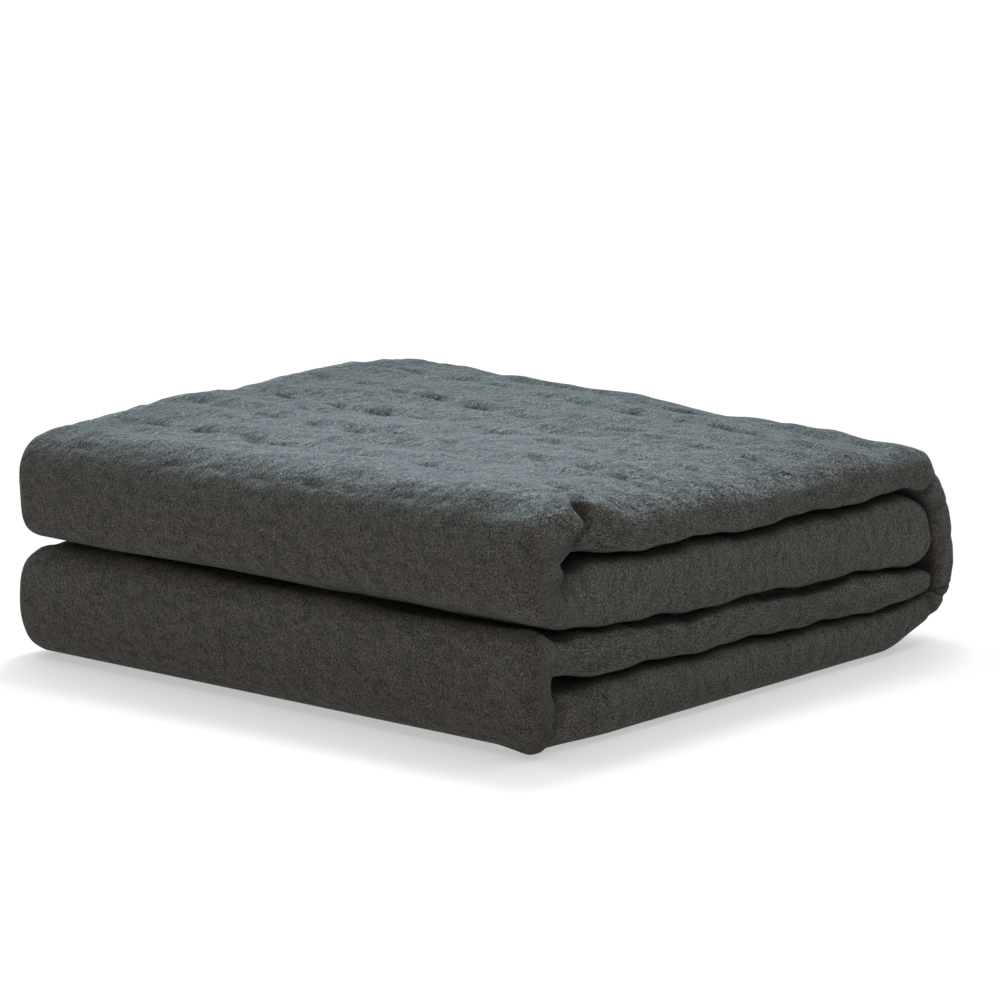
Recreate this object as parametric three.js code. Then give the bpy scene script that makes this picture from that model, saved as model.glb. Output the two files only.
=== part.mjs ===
import * as THREE from 'three';

// A quilted fleece blanket, folded small and lying flat. Millimetres, +Z up.
// X runs along the two front rolls, -Y is the front, and +X is the side where the layers show.
// The origin is the middle of the footprint, on the surface that the blanket lies on.
//
// The cloth is folded in four across its width, which makes a strip of four plies,
// A on the outside of every turn, then B, C and D.
// The strip is folded in four along its length, which makes four layers, 1 at the top.
// A place in the strip is x, along the width, and v, out from the middle of its thickness.

// Driving sizes
const WIDTH = 450;
const DEPTH = 446;
const HEIGHT = 160;
const PLY = 8.7;
const PLY_GAP = 0.95;

// The strip, and the heights of its layers and of the gaps between them before they settle
const PLY_PITCH = PLY + PLY_GAP;
const PLY_V = { A: 1.5 * PLY_PITCH, B: 0.5 * PLY_PITCH, C: -0.5 * PLY_PITCH, D: -1.5 * PLY_PITCH };
const STRIP = 4 * PLY + 3 * PLY_GAP;
const LAYER_PITCH = (HEIGHT - STRIP) / 3;
const layerZ = (layer) => STRIP / 2 + (4 - layer) * LAYER_PITCH;
const gapZ = (layersBelow) => STRIP / 2 + (layersBelow - 0.5) * LAYER_PITCH;

// The front rolls, and how square their upper and lower halves are
const ROLL_RADIUS = LAYER_PITCH / 2;
const ROLL_OUTER = ROLL_RADIUS + STRIP / 2;
const ROLL_SQUARENESS = {
  upper: { above: 2.4, below: 4.6 },
  lower: { above: 4, below: 3.6 },
};

// The wrap that takes the strip round the back, from the top layer to the bottom one
const WRAP_SQUEEZE = 0.66;
const WRAP_Y = DEPTH - (WRAP_SQUEEZE * STRIP) / 2;
const WRAP_CORNER_SHARE = 0.4;
const WRAP_TOP = { along: 38, up: 33 };
const WRAP_BOTTOM = { along: 58, up: 30 };
const TOP_END = WRAP_Y - WRAP_TOP.along;
const BOTTOM_END = WRAP_Y - WRAP_BOTTOM.along;
// How far the wrap is moved along Y, at heights from the surface that it lies on
const WRAP_BELLY = [
  [0, -20],
  [10, -14],
  [16, -8],
  [22, -1],
  [52, 0],
  [75, 0],
  [105, -6],
  [120, -5],
  [132, 0],
];
const WRAP_BELLY_FROM = 350;
const WRAP_BELLY_FULL = DEPTH - 20;

// The free ends of the second and third layers, inside the wrap: the layer tapers towards them,
// and the edge of the cloth is rounded, with its thickness as a share of the full one
const FREE_END_Y = DEPTH - WRAP_SQUEEZE * STRIP - 6;
const END_TAPER = { length: 22, squeeze: 0.6 };
const END_ROUNDING = [
  { back: 0, thickness: 0.45 },
  { back: 1.5, thickness: 0.82 },
  { back: 5, thickness: 1 },
  { back: 10, thickness: 1 },
  { back: 16, thickness: 1 },
  { back: END_TAPER.length, thickness: 1 },
];

// Folds of the cloth across its width: the side fold is squarer than round, and less so at the
// shoulder of the top layer and at the lower edge of the bottom one
const SIDE_FOLD = { reach: 17, squareness: 4, shoulderSquareness: 2.3 };
const FOLD_X = WIDTH / 2 - SIDE_FOLD.reach;
const FIRST_FOLD_X = -WIDTH / 2 + PLY_PITCH - PLY_GAP / 2;
const FREE_EDGE = { C: -WIDTH / 2 + 9, D: -WIDTH / 2 + 6 };

// Quilting dents, one in the middle of a cell of the outside of ply A
const COLUMNS = 11;
const COLUMN_PITCH = (FOLD_X - FIRST_FOLD_X) / COLUMNS;
const HIDDEN_COLUMNS = [4, 8];
const DENT = { halfLength: 8, halfWidth: 3.5, depth: 1.8 };

// Heights of the gaps between the layers, and of the top, along the right and the left side
const LEVELS = {
  right: [
    { y: 0, gap34: 41, gap23: 79, gap12: 116, top: 160 },
    { y: 40, gap34: 40.5, gap23: 72, gap12: 115, top: 158 },
    { y: 110, gap34: 38.5, gap23: 64.5, gap12: 111, top: 153 },
    { y: 230, gap34: 36, gap23: 61.5, gap12: 107, top: 148 },
    { y: 320, gap34: 32.5, gap23: 58.5, gap12: 107, top: 143 },
    { y: 400, gap34: 32, gap23: 54, gap12: 107, top: 138 },
    { y: 446, gap34: 32, gap23: 54, gap12: 105, top: 132 },
  ],
  left: [
    { y: 0, gap34: 38, gap23: 76, gap12: 115, top: 154 },
    { y: 200, gap34: 39, gap23: 79, gap12: 118, top: 160 },
    { y: 340, gap34: 40, gap23: 80, gap12: 121, top: 161.5 },
    { y: 446, gap34: 40, gap23: 79, gap12: 117, top: 149 },
  ],
};

// The gaps and the top are a little wavy along both sides
const WAVES = {
  right: [
    { level: 'gap34', height: 1.2, length: 96, phase: 0.4 },
    { level: 'gap23', height: 1.4, length: 118, phase: 2.1 },
    { level: 'gap12', height: 1.3, length: 104, phase: 3.6 },
    { level: 'top', height: 1.2, length: 148, phase: 1.2 },
  ],
  left: [
    { level: 'gap34', height: 0.8, length: 130, phase: 1.9 },
    { level: 'gap23', height: 1, length: 150, phase: 0.7 },
    { level: 'gap12', height: 0.9, length: 125, phase: 4.4 },
    { level: 'top', height: 1.6, length: 170, phase: 3.1 },
  ],
};

// What shapes the right side starts at one place and is full at another
const RIGHT_START = WIDTH / 2 - 45;
const RIGHT_FULL = WIDTH / 2 - 8;
// There the middle of each roll lies nearer the front than it does inside
const PINCH = { upper: 33.5, lower: 20, until: 95, frontSlope: 0.8, middleSlope: 0.6 };
// There the outermost layers are tucked in behind a crease that runs out from each roll's middle
const TUCK = { depth: 6, lean: 0.36, before: 2, after: 5, end: 65, fromGap: -2, toFull: 8 };
// How far each gap opens up and down where it starts at the right side
const WEDGE_RISE = { gap12: 4.6, gap23: 1.6, gap34: 3.6 };
const WEDGE = { start: 12, full: 22, from: 36, to: 72, edge: 1, near: 4, away: 18 };
// The right shoulder of the top layer droops, by shares of this at places back from the front
const DROOP = { depth: 12.5, width: 72, bend: 2.4 };
const DROOP_SHARES = [
  [0, 0.25],
  [40, 0.35],
  [100, 1],
  [280, 1],
  [330, 0.5],
  [400, 0.1],
  [446, 0],
];
// At the left side each pair of layers is rounded as one, less so under the upper pair
const LEFT_ROUNDING = { reach: 17, over: 60, squareness: 3, seamSquareness: 5 };

// Where the section is placed along the layers, and the rows of dents on the top, as y from the front
const FREE_STATIONS = [350, 300, 250, 205, 160, 115, 75];
const BOTTOM_STATIONS = [350, 300, 250, 205, 160, 115, 75, 58, 48, 43, ROLL_OUTER];
const TOP_STATIONS = [43, 48, 56, 85, 115, 147, 179, 212, 244, 276, 308, 340, 368, TOP_END];
const TOP_DENTS = [70, 131, 195, 260, 324];

const smooth = (from, to, value) => THREE.MathUtils.smoothstep(value, from, to);
const mix = THREE.MathUtils.lerp;
const QUARTER = Math.PI / 2;
const rightShare = (x) => smooth(RIGHT_START, RIGHT_FULL, x);

// The value at a place in a table of places and values
function tableAt(table, at) {
  const next = table.findIndex(([place]) => place >= at);
  if (next <= 0) return table[next < 0 ? table.length - 1 : 0][1];
  const [[before, low], [after, high]] = [table[next - 1], table[next]];
  return mix(low, high, (at - before) / (after - before));
}

// A cubic that passes through two heights with given slopes
function hermite(y0, h0, slope0, y1, h1, slope1, y) {
  const span = y1 - y0;
  const t = (y - y0) / span;
  const rise = h1 - h0;
  const a = slope0 * span - rise;
  const b = rise - slope1 * span;
  return h0 + t * rise + t * (1 - t) * ((1 - t) * a + t * b);
}

// The places where the strip's path goes, as a fraction q of each leg:
// the middle of its thickness, the direction of its outside, and how far it is squeezed
function flatLeg(layer, fromY, toY) {
  const up = toY > fromY ? 1 : -1;
  return (q) => ({ y: mix(fromY, toY, q), z: layerZ(layer), outY: 0, outZ: up, squeeze: 1 });
}

// A layer inside the wrap, which tapers to a round free end
function freeLeg(layer, fromY, toY) {
  const flat = flatLeg(layer, fromY, toY);
  return (q) => {
    const place = flat(q);
    const inside = Math.min((FREE_END_Y - place.y) / END_TAPER.length, 1);
    return { ...place, squeeze: mix(END_TAPER.squeeze, 1, Math.sqrt(1 - (1 - inside) ** 2)) };
  };
}

function rollLeg(lowerLayer) {
  const centreZ = layerZ(lowerLayer) + ROLL_RADIUS;
  return (q) => {
    const angle = -Math.PI * (0.5 + q);
    const outY = Math.cos(angle);
    const outZ = Math.sin(angle);
    return {
      y: ROLL_OUTER + ROLL_RADIUS * outY,
      z: centreZ + ROLL_RADIUS * outZ,
      outY,
      outZ,
      squeeze: 1,
      rollZ: centreZ,
    };
  };
}

function wrapLeg() {
  const share = WRAP_CORNER_SHARE;
  return (q) => {
    const upper = Math.max(1 - q / share, 0);
    const lower = Math.max(1 - (1 - q) / share, 0);
    const { along, up } = q < 0.5 ? WRAP_TOP : WRAP_BOTTOM;
    const angle = (upper - lower) * QUARTER;
    const straight = THREE.MathUtils.clamp((q - share) / (1 - 2 * share), 0, 1);
    const out = new THREE.Vector2(Math.cos(angle) / along, Math.sin(angle) / up).normalize();
    return {
      y: WRAP_Y - along + along * Math.cos(angle),
      z: mix(layerZ(1) - WRAP_TOP.up, layerZ(4) + WRAP_BOTTOM.up, straight) + up * Math.sin(angle),
      outY: out.x,
      outZ: out.y,
      squeeze: mix(WRAP_SQUEEZE, 1, smooth(0, 1, Math.max(upper, lower))),
    };
  };
}

// The squarish section of a front roll: outer points move out more than inner ones
function squareRoll(place) {
  const dy = place.y - ROLL_OUTER;
  const dz = place.z - place.rollZ;
  const radius = Math.hypot(dy, dz);
  const { above, below } = place.rollZ > gapZ(2) ? ROLL_SQUARENESS.upper : ROLL_SQUARENESS.lower;
  const power = dz > 0 ? above : below;
  const sum = Math.abs(dy / radius) ** power + Math.abs(dz / radius) ** power;
  const full = sum ** (-1 / power) - 1;
  const grow = 1 + full * (radius / ROLL_OUTER) ** 2;
  place.y = ROLL_OUTER + dy * grow;
  place.z = place.rollZ + dz * grow;
}

// Makes the outer half of the side fold rounder than its section, by a share
function softenShoulder(x, v, soft) {
  const out = THREE.MathUtils.clamp((2 * v) / STRIP, 0, 1);
  if (x <= FOLD_X || out === 1) return x;
  const across = (power) => (1 - out ** power) ** (1 / power);
  const ratio = across(SIDE_FOLD.shoulderSquareness) / across(SIDE_FOLD.squareness);
  return FOLD_X + (x - FOLD_X) * mix(1, ratio, soft);
}

// Moves the middle of each roll forward at the right side, and tucks the outermost layers in
function shapeRightCorner(place) {
  const { until, frontSlope, middleSlope } = PINCH;
  const upper = place.z > gapZ(2);
  const middle = upper ? PINCH.upper : PINCH.lower;
  const share = rightShare(place.x);
  if (place.y < until) {
    const moved =
      place.y < ROLL_OUTER
        ? hermite(0, 0, frontSlope, ROLL_OUTER, middle, middleSlope, place.y)
        : hermite(ROLL_OUTER, middle, middleSlope, until, until, 1, place.y);
    place.y = mix(place.y, moved, share);
  }
  const { depth, lean, before, after, end, fromGap, toFull } = TUCK;
  const outside = upper ? place.z - gapZ(3) : gapZ(1) - place.z;
  const crease = upper ? middle + lean * Math.max(outside, 0) : middle;
  const behind = place.y - crease;
  const tucked = smooth(-before, after, behind) * (1 - smooth(after, end, behind));
  place.x -= depth * tucked * smooth(fromGap, toFull, outside) * share;
}

// Rounds each pair of layers as one at the left side
function roundLeftSide(place) {
  const { reach, over, squareness, seamSquareness } = LEFT_ROUNDING;
  const upper = place.z > gapZ(2);
  const pairMiddle = layerZ(upper ? 2 : 4) + ROLL_RADIUS;
  const height = Math.min(Math.abs(place.z - pairMiddle) / ROLL_OUTER, 1);
  const power = upper && place.z < pairMiddle ? seamSquareness : squareness;
  const inward = reach * (1 - (1 - height ** power) ** (1 / power));
  place.x += inward * (1 - smooth(-WIDTH / 2, -WIDTH / 2 + over, place.x));
}

// How far the waves along a side lift a gap or the top at a place
function waveAt(side, level, y) {
  const { height, length, phase } = WAVES[side].find((wave) => wave.level === level);
  return height * Math.sin((2 * Math.PI * y) / length + phase);
}

// The height of a gap or of the top at a place, from the rows of one side
function levelAt(rows, level, y) {
  const after = rows.findIndex((row) => row.y >= y);
  const next = rows[after < 0 ? rows.length - 1 : after];
  const last = rows[Math.max((after < 0 ? rows.length : after) - 1, 0)];
  return mix(last[level], next[level], smooth(last.y, next.y, y));
}

// Stretches or squeezes the layers to the heights in LEVELS
function settle(place) {
  const side = THREE.MathUtils.clamp(place.x / WIDTH + 0.5, 0, 1);
  const names = ['gap34', 'gap23', 'gap12', 'top'];
  const plain = [0, gapZ(1), gapZ(2), gapZ(3), HEIGHT];
  const settled = [0];
  for (const name of names) {
    const left = levelAt(LEVELS.left, name, place.y) + waveAt('left', name, place.y);
    const right = levelAt(LEVELS.right, name, place.y) + waveAt('right', name, place.y);
    settled.push(mix(left, right, side));
  }
  const band = Math.min(Math.max(plain.findIndex((z) => z >= place.z) - 1, 0), names.length - 1);
  const share = (place.z - plain[band]) / (plain[band + 1] - plain[band]);
  place.z = mix(settled[band], settled[band + 1], share);
}

// Moves the wrap forward except where it bulges
function fillWrap(place) {
  place.y += tableAt(WRAP_BELLY, place.z) * smooth(WRAP_BELLY_FROM, WRAP_BELLY_FULL, place.y);
}

const rightLevel = (level, y) => levelAt(LEVELS.right, level, y) + waveAt('right', level, y);

// Opens the gaps where they start behind the creases of the right side
function openWedges(place) {
  const { start, full, from, to, edge, near, away } = WEDGE;
  const share = smooth(start, full, place.y) * (1 - smooth(from, to, place.y)) * rightShare(place.x);
  for (const [level, rise] of Object.entries(WEDGE_RISE)) {
    const above = place.z - rightLevel(level, place.y);
    place.z += rise * share * Math.tanh(above / edge) * (1 - smooth(near, away, Math.abs(above)));
  }
}

// Lowers the right shoulder of the top layer
function droopRight(place) {
  const low = rightLevel('gap12', place.y);
  const top = rightLevel('top', place.y);
  const share = THREE.MathUtils.clamp((place.z - low) / (top - low), 0, 1);
  const across = THREE.MathUtils.clamp((place.x - WIDTH / 2 + DROOP.width) / DROOP.width, 0, 1);
  place.z -= DROOP.depth * share * across ** DROOP.bend * tableAt(DROOP_SHARES, place.y);
}

// How deep the side fold is creased across at a place on the path
function creaseAt(leg, q) {
  let deepest = 0;
  for (const { at, depth, half } of leg.creases ?? []) {
    deepest = Math.max(deepest, depth * (1 - Math.abs(q - at) / half));
  }
  return deepest;
}

// The point at x and v in the strip, a fraction q along a leg of its path
function pointAt(leg, q, x, v) {
  const path = leg.path(q);
  const high = Math.max(path.outZ, 0) * smooth(gapZ(2), gapZ(3), path.z);
  const low = Math.max(-path.outZ, 0) * (1 - smooth(gapZ(1), gapZ(2), path.z));
  const softened = softenShoulder(x, v, high + low);
  const place = {
    x: softened - creaseAt(leg, q) * rightShare(softened),
    y: path.y + path.outY * v * path.squeeze,
    z: path.z + path.outZ * v * path.squeeze,
    rollZ: path.rollZ,
  };
  if (path.rollZ) squareRoll(place);
  shapeRightCorner(place);
  roundLeftSide(place);
  settle(place);
  fillWrap(place);
  openWedges(place);
  droopRight(place);
  return new THREE.Vector3(place.x, place.y - DEPTH / 2, place.z);
}

// How long the legs are, and where a y lies along them
const TOP_LEG = TOP_END - ROLL_OUTER;
const topFraction = (y) => (y - ROLL_OUTER) / TOP_LEG;
const BOTTOM_LEG = BOTTOM_END - ROLL_OUTER;
const bottomFraction = (y) => (y - ROLL_OUTER) / BOTTOM_LEG;
const FREE_LEG = FREE_END_Y - ROLL_OUTER;
const freeFraction = (y) => (y - ROLL_OUTER) / FREE_LEG;
const ROLL_LENGTH = Math.PI * ROLL_OUTER;
const WRAP_LENGTH = WRAP_TOP.along + WRAP_BOTTOM.along + HEIGHT;
// The legs of the strip's path, from the free end of the second layer to that of the third.
// stops are where the section is placed, as fractions of the leg, dents where rows of dents lie,
// and creases where the side fold is creased across.
const LEGS = [
  // The second layer
  {
    length: FREE_LEG,
    path: freeLeg(2, FREE_END_Y, ROLL_OUTER),
    stops: [...FREE_STATIONS.map((y) => 1 - freeFraction(y)), 1],
    dents: [],
  },
  // The upper roll
  {
    length: ROLL_LENGTH,
    path: rollLeg(2),
    stops: [0.12, 0.24, 0.36, 0.48, 0.6, 0.71, 0.78, 0.84, 0.89, 0.93, 0.97, 1],
    dents: [0.745],
  },
  // The top layer
  {
    length: TOP_LEG,
    path: flatLeg(1, ROLL_OUTER, TOP_END),
    stops: TOP_STATIONS.map(topFraction),
    dents: TOP_DENTS.map(topFraction),
  },
  // The back wrap
  {
    length: WRAP_LENGTH,
    path: wrapLeg(),
    stops: [
      0.06, 0.12, 0.17, 0.205, 0.235, 0.27, 0.36, 0.44, 0.5, 0.56, 0.63, 0.7, 0.735, 0.765, 0.8, 0.86, 0.93,
      1,
    ],
    dents: [0.33, 0.67],
    creases: [
      { at: 0.235, depth: 5, half: 0.035 },
      { at: 0.5, depth: 2, half: 0.06 },
      { at: 0.765, depth: 5, half: 0.035 },
    ],
  },
  // The bottom layer
  {
    length: BOTTOM_LEG,
    path: flatLeg(4, BOTTOM_END, ROLL_OUTER),
    stops: BOTTOM_STATIONS.map((y) => 1 - bottomFraction(y)),
    dents: [],
  },
  // The lower roll
  {
    length: ROLL_LENGTH,
    path: rollLeg(4),
    stops: [0.04, 0.08, 0.13, 0.22, 0.34, 0.46, 0.58, 0.7, 0.8, 0.9, 1],
    dents: [],
  },
  // The third layer
  {
    length: FREE_LEG,
    path: freeLeg(3, ROLL_OUTER, FREE_END_Y),
    stops: [...FREE_STATIONS.map(freeFraction).reverse(), 1],
    dents: [],
  },
];

// Points of an arc round a fold, without its first point; reach is its size along X
function foldArc(x, v, reach, radius, fromAngle, toAngle, steps, squareness = 2) {
  const points = [];
  for (let step = 1; step <= steps; step += 1) {
    const angle = mix(fromAngle, toAngle, step / steps);
    const cos = Math.cos(angle);
    const sin = Math.sin(angle);
    points.push({
      x: x + reach * Math.sign(cos) * Math.abs(cos) ** (2 / squareness),
      v: v + radius * Math.sign(sin) * Math.abs(sin) ** (2 / squareness),
    });
  }
  return points;
}

// The round edge of a ply at the left side, from its lower face to its upper one
function freeEdge(x, v, half) {
  const lower = { x: x + half, v: v - half };
  return [lower, ...foldArc(x + half, v, half, half, -QUARTER, -3 * QUARTER, 2)];
}

const columnX = (column) => FIRST_FOLD_X + column * COLUMN_PITCH;

// The closed outline of the strip's section, for one thickness of the cloth.
// It starts at the free edge of ply C, goes along its upper face, round the inner fold to B,
// round the first fold to A, round the side fold to D, and back along the other faces.
function sectionOutline(thickness) {
  const half = thickness / 2;
  const slack = (PLY - thickness) / 2;
  const { reach, squareness } = SIDE_FOLD;
  const innerReach = reach - PLY - PLY_GAP;
  const inner = PLY_PITCH / 2;
  const toRight = (v) => HIDDEN_COLUMNS.map((column) => ({ x: columnX(column), v }));
  const toLeft = (v) => toRight(v).reverse();
  const outline = [
    ...toRight(PLY_V.C + half),
    { x: FOLD_X, v: PLY_V.C + half },
    ...foldArc(FOLD_X, 0, inner - half, inner - half, -QUARTER, QUARTER, 2),
    ...toLeft(PLY_V.B - half),
    { x: FIRST_FOLD_X, v: PLY_V.B - half },
    ...foldArc(FIRST_FOLD_X, PLY_PITCH, inner + half, inner + half, -QUARTER, -3 * QUARTER, 4),
  ];
  const outsideStart = outline.length - 1;
  for (let column = 1; column <= COLUMNS; column += 1) {
    outline.push({ x: columnX(column), v: PLY_V.A + half });
  }
  const outsideRadius = PLY_V.A + half;
  const insideRadius = PLY_V.A - half;
  outline.push(
    ...foldArc(FOLD_X, 0, reach - slack, outsideRadius, QUARTER, -QUARTER, 6, squareness),
    ...toLeft(PLY_V.D - half),
    ...freeEdge(FREE_EDGE.D, PLY_V.D, half),
    ...toRight(PLY_V.D + half),
    { x: FOLD_X, v: PLY_V.D + half },
    ...foldArc(FOLD_X, 0, reach - PLY + slack, insideRadius, -QUARTER, QUARTER, 4, squareness),
    ...toLeft(PLY_V.A - half),
    { x: FIRST_FOLD_X, v: PLY_V.A - half },
    ...foldArc(FIRST_FOLD_X, PLY_PITCH, inner - half, inner - half, QUARTER, 3 * QUARTER, 2),
    ...toRight(PLY_V.B + half),
    { x: FOLD_X, v: PLY_V.B + half },
    ...foldArc(FOLD_X, 0, innerReach - slack, inner + half, QUARTER, -QUARTER, 4, squareness),
    ...toLeft(PLY_V.C - half),
    ...freeEdge(FREE_EDGE.C, PLY_V.C, half),
  );
  return { outline, outsideStart };
}

// The stations of the sweep: each has a leg, a fraction q of it, and the cloth's thickness there
function sweepStations() {
  const first = LEGS[0];
  const last = LEGS[LEGS.length - 1];
  const between = LEGS.flatMap((leg) => leg.stops.map((q) => ({ leg, q, thickness: 1 })));
  between.pop();
  return [
    ...END_ROUNDING.map(({ back, thickness }) => ({ leg: first, q: back / first.length, thickness })),
    ...between,
    ...END_ROUNDING.map(({ back, thickness }) => ({ leg: last, q: 1 - back / last.length, thickness }))
      .reverse(),
  ];
}

function blanketGeometry() {
  const positions = [];
  const index = [];
  const addPoint = (point) => positions.push(point.x, point.y, point.z) / 3 - 1;
  const stations = sweepStations();
  const { outsideStart, outline: fullOutline } = sectionOutline(PLY);
  const count = fullOutline.length;
  const rings = stations.map(({ leg, q, thickness }) =>
    sectionOutline(PLY * thickness).outline.map(({ x, v }) => addPoint(pointAt(leg, q, x, v))),
  );

  // A cell with a dent: a lozenge round a lowered point, joined to the cell's corners
  const outsideV = STRIP / 2;
  function addDent(leg, q, column, [lowLeft, lowRight, highRight, highLeft]) {
    const x = columnX(column + 0.5);
    const across = DENT.halfWidth / leg.length;
    const low = addPoint(pointAt(leg, q - across, x, outsideV));
    const right = addPoint(pointAt(leg, q, x + DENT.halfLength, outsideV));
    const high = addPoint(pointAt(leg, q + across, x, outsideV));
    const left = addPoint(pointAt(leg, q, x - DENT.halfLength, outsideV));
    const pit = addPoint(pointAt(leg, q, x, outsideV - DENT.depth));
    index.push(lowLeft, lowRight, low, lowRight, right, low);
    index.push(lowRight, highRight, right, highRight, high, right);
    index.push(highRight, highLeft, high, highLeft, left, high);
    index.push(highLeft, lowLeft, left, lowLeft, low, left);
    index.push(low, right, pit, right, high, pit, high, left, pit, left, low, pit);
  }

  for (let row = 1; row < rings.length; row += 1) {
    const { leg, q } = stations[row];
    const before = stations[row - 1].leg === leg ? stations[row - 1].q : 0;
    const dent = leg.dents.find((place) => place > before && place < q);
    for (let k = 0; k < count; k += 1) {
      const next = (k + 1) % count;
      const corners = [rings[row - 1][k], rings[row - 1][next], rings[row][next], rings[row][k]];
      const column = k - outsideStart;
      if (dent && column >= 0 && column < COLUMNS) {
        addDent(leg, dent, column, corners);
      } else {
        // Facing surfaces run opposite ways, and are split the same way by turning one of them
        const turned = fullOutline[next].x < fullOutline[k].x ? 1 : 0;
        const [a, b, c, d] = [...corners.slice(turned), ...corners.slice(0, turned)];
        index.push(a, b, c, a, c, d);
      }
    }
  }

  // The flat faces at the two free ends of the strip
  for (const [ring, thickness, turned] of [
    [rings[0], stations[0].thickness, true],
    [rings[rings.length - 1], stations[stations.length - 1].thickness, false],
  ]) {
    const contour = sectionOutline(PLY * thickness).outline.map(({ x, v }) => new THREE.Vector2(x, v));
    const clockwise = THREE.ShapeUtils.isClockWise(contour);
    for (const [a, b, c] of THREE.ShapeUtils.triangulateShape(contour, [])) {
      const same = THREE.ShapeUtils.isClockWise([contour[a], contour[b], contour[c]]) === clockwise;
      const corners = same === turned ? [c, b, a] : [a, b, c];
      index.push(...corners.map((corner) => ring[corner]));
    }
  }

  const geometry = new THREE.BufferGeometry();
  geometry.setAttribute('position', new THREE.Float32BufferAttribute(positions, 3));
  geometry.setIndex(index);
  geometry.computeVertexNormals();
  return geometry;
}

const fleece = new THREE.MeshStandardMaterial({ color: 0x4a4844, roughness: 0.95, metalness: 0 });
const blanket = new THREE.Mesh(blanketGeometry(), fleece);
blanket.name = 'blanket';

const part = new THREE.Group();
part.add(blanket);
export default part;
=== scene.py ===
"""A quilted fleece blanket, folded small, on a plain studio floor. Metres, +Z up.

X runs along the two front rolls, -Y is the front, and +X is the side where the layers show.
"""

import math
from collections import namedtuple
from functools import partial

import bpy
import numpy as np
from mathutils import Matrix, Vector, noise
from mathutils.geometry import tessellate_polygon


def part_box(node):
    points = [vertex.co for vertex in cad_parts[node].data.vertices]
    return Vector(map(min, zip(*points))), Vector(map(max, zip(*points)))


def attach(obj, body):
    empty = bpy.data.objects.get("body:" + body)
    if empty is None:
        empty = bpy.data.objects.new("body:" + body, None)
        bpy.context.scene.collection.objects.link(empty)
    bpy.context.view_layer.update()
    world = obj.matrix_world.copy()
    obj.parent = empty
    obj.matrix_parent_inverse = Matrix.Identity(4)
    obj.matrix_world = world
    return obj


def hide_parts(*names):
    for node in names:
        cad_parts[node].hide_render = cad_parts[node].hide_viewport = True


bl_info = {
    "name": "Folded Quilted Blanket",
    "version": (1, 0, 0),
    "blender": (4, 5, 0),
    "location": "View3D > Sidebar > Blanket",
    "description": "Builds a quilted fleece blanket, folded small, and its studio",
    "category": "Object",
}

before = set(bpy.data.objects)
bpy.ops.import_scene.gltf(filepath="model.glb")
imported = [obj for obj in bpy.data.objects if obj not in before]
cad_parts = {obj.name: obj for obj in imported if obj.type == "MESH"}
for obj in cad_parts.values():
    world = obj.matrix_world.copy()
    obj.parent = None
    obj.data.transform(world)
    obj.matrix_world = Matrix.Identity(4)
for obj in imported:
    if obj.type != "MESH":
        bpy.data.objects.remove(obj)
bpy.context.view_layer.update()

BLANKET_NODE = "blanket"
BLANKET_LOW, BLANKET_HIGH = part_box(BLANKET_NODE)

# Heights of the gaps between the layers, and of the top, at places back from the front.
# The layers are numbered from the top.
Level = namedtuple("Level", "y gap34 gap23 gap12 top")
LEVELS = {
    "right": [
        Level(0.000, 0.0410, 0.0790, 0.116, 0.160),
        Level(0.040, 0.0405, 0.0720, 0.115, 0.158),
        Level(0.110, 0.0385, 0.0645, 0.111, 0.153),
        Level(0.230, 0.0360, 0.0615, 0.107, 0.148),
        Level(0.320, 0.0325, 0.0585, 0.107, 0.143),
        Level(0.400, 0.0320, 0.0540, 0.107, 0.138),
        Level(0.446, 0.0320, 0.0540, 0.105, 0.132),
    ],
    "left": [
        Level(0.000, 0.038, 0.076, 0.115, 0.154),
        Level(0.200, 0.039, 0.079, 0.118, 0.160),
        Level(0.340, 0.040, 0.080, 0.121, 0.1615),
        Level(0.446, 0.040, 0.079, 0.117, 0.149),
    ],
}

# The gaps and the top are a little wavy along both sides
Wave = namedtuple("Wave", "level height length phase")
WAVES = {
    "right": [
        Wave("gap34", 0.0012, 0.096, 0.4),
        Wave("gap34", 0.0006, 0.037, 1.3),
        Wave("gap23", 0.0014, 0.118, 2.1),
        Wave("gap23", 0.0006, 0.041, 0.2),
        Wave("gap12", 0.0013, 0.104, 3.6),
        Wave("gap12", 0.0005, 0.033, 2.4),
        Wave("top", 0.0012, 0.148, 1.2),
    ],
    "left": [
        Wave("gap34", 0.0008, 0.130, 1.9),
        Wave("gap23", 0.0010, 0.150, 0.7),
        Wave("gap12", 0.0009, 0.125, 4.4),
        Wave("top", 0.0016, 0.170, 3.1),
    ],
}

# How square the quarter of each front roll above its middle is, and the quarter below it
ROLL_SQUARENESS = {"upper": (2.4, 4.6), "lower": (4.0, 3.6)}
# The wrap round the back: how it is squeezed, how far its two corners reach along Y and up,
# and the share of its path that each corner takes
WRAP_SQUEEZE = 0.66
WRAP_TOP_ALONG = 0.038
WRAP_TOP_UP = 0.033
WRAP_BOTTOM_ALONG = 0.058
WRAP_BOTTOM_UP = 0.030
WRAP_CORNER_SHARE = 0.4
# The free ends inside the wrap: how far off it they stay, and how they thin out
FREE_END_GAP = 0.006
TAPER_LENGTH = 0.022
TAPER_SQUEEZE = 0.6
# The rounding of a free end: how far in from it, and the share of the full thickness there
END_STATIONS = [(0.0, 0.45), (0.0015, 0.82), (0.005, 1), (0.011, 1), (0.020, 1), (0.027, 1)]

# Folds across the width: how far they reach along X, and how square they are
SIDE_REACH = 0.017
SIDE_SQUARENESS = 4
SHOULDER_SQUARENESS = 2.3
# How far in from the left side the two free edges of the cloth lie
FREE_EDGE_C = 0.009
FREE_EDGE_D = 0.006

# The right side has a shape of its own: how far in from it that starts, and where it is full
RIGHT_START = 0.045
RIGHT_FULL = 0.008
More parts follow.
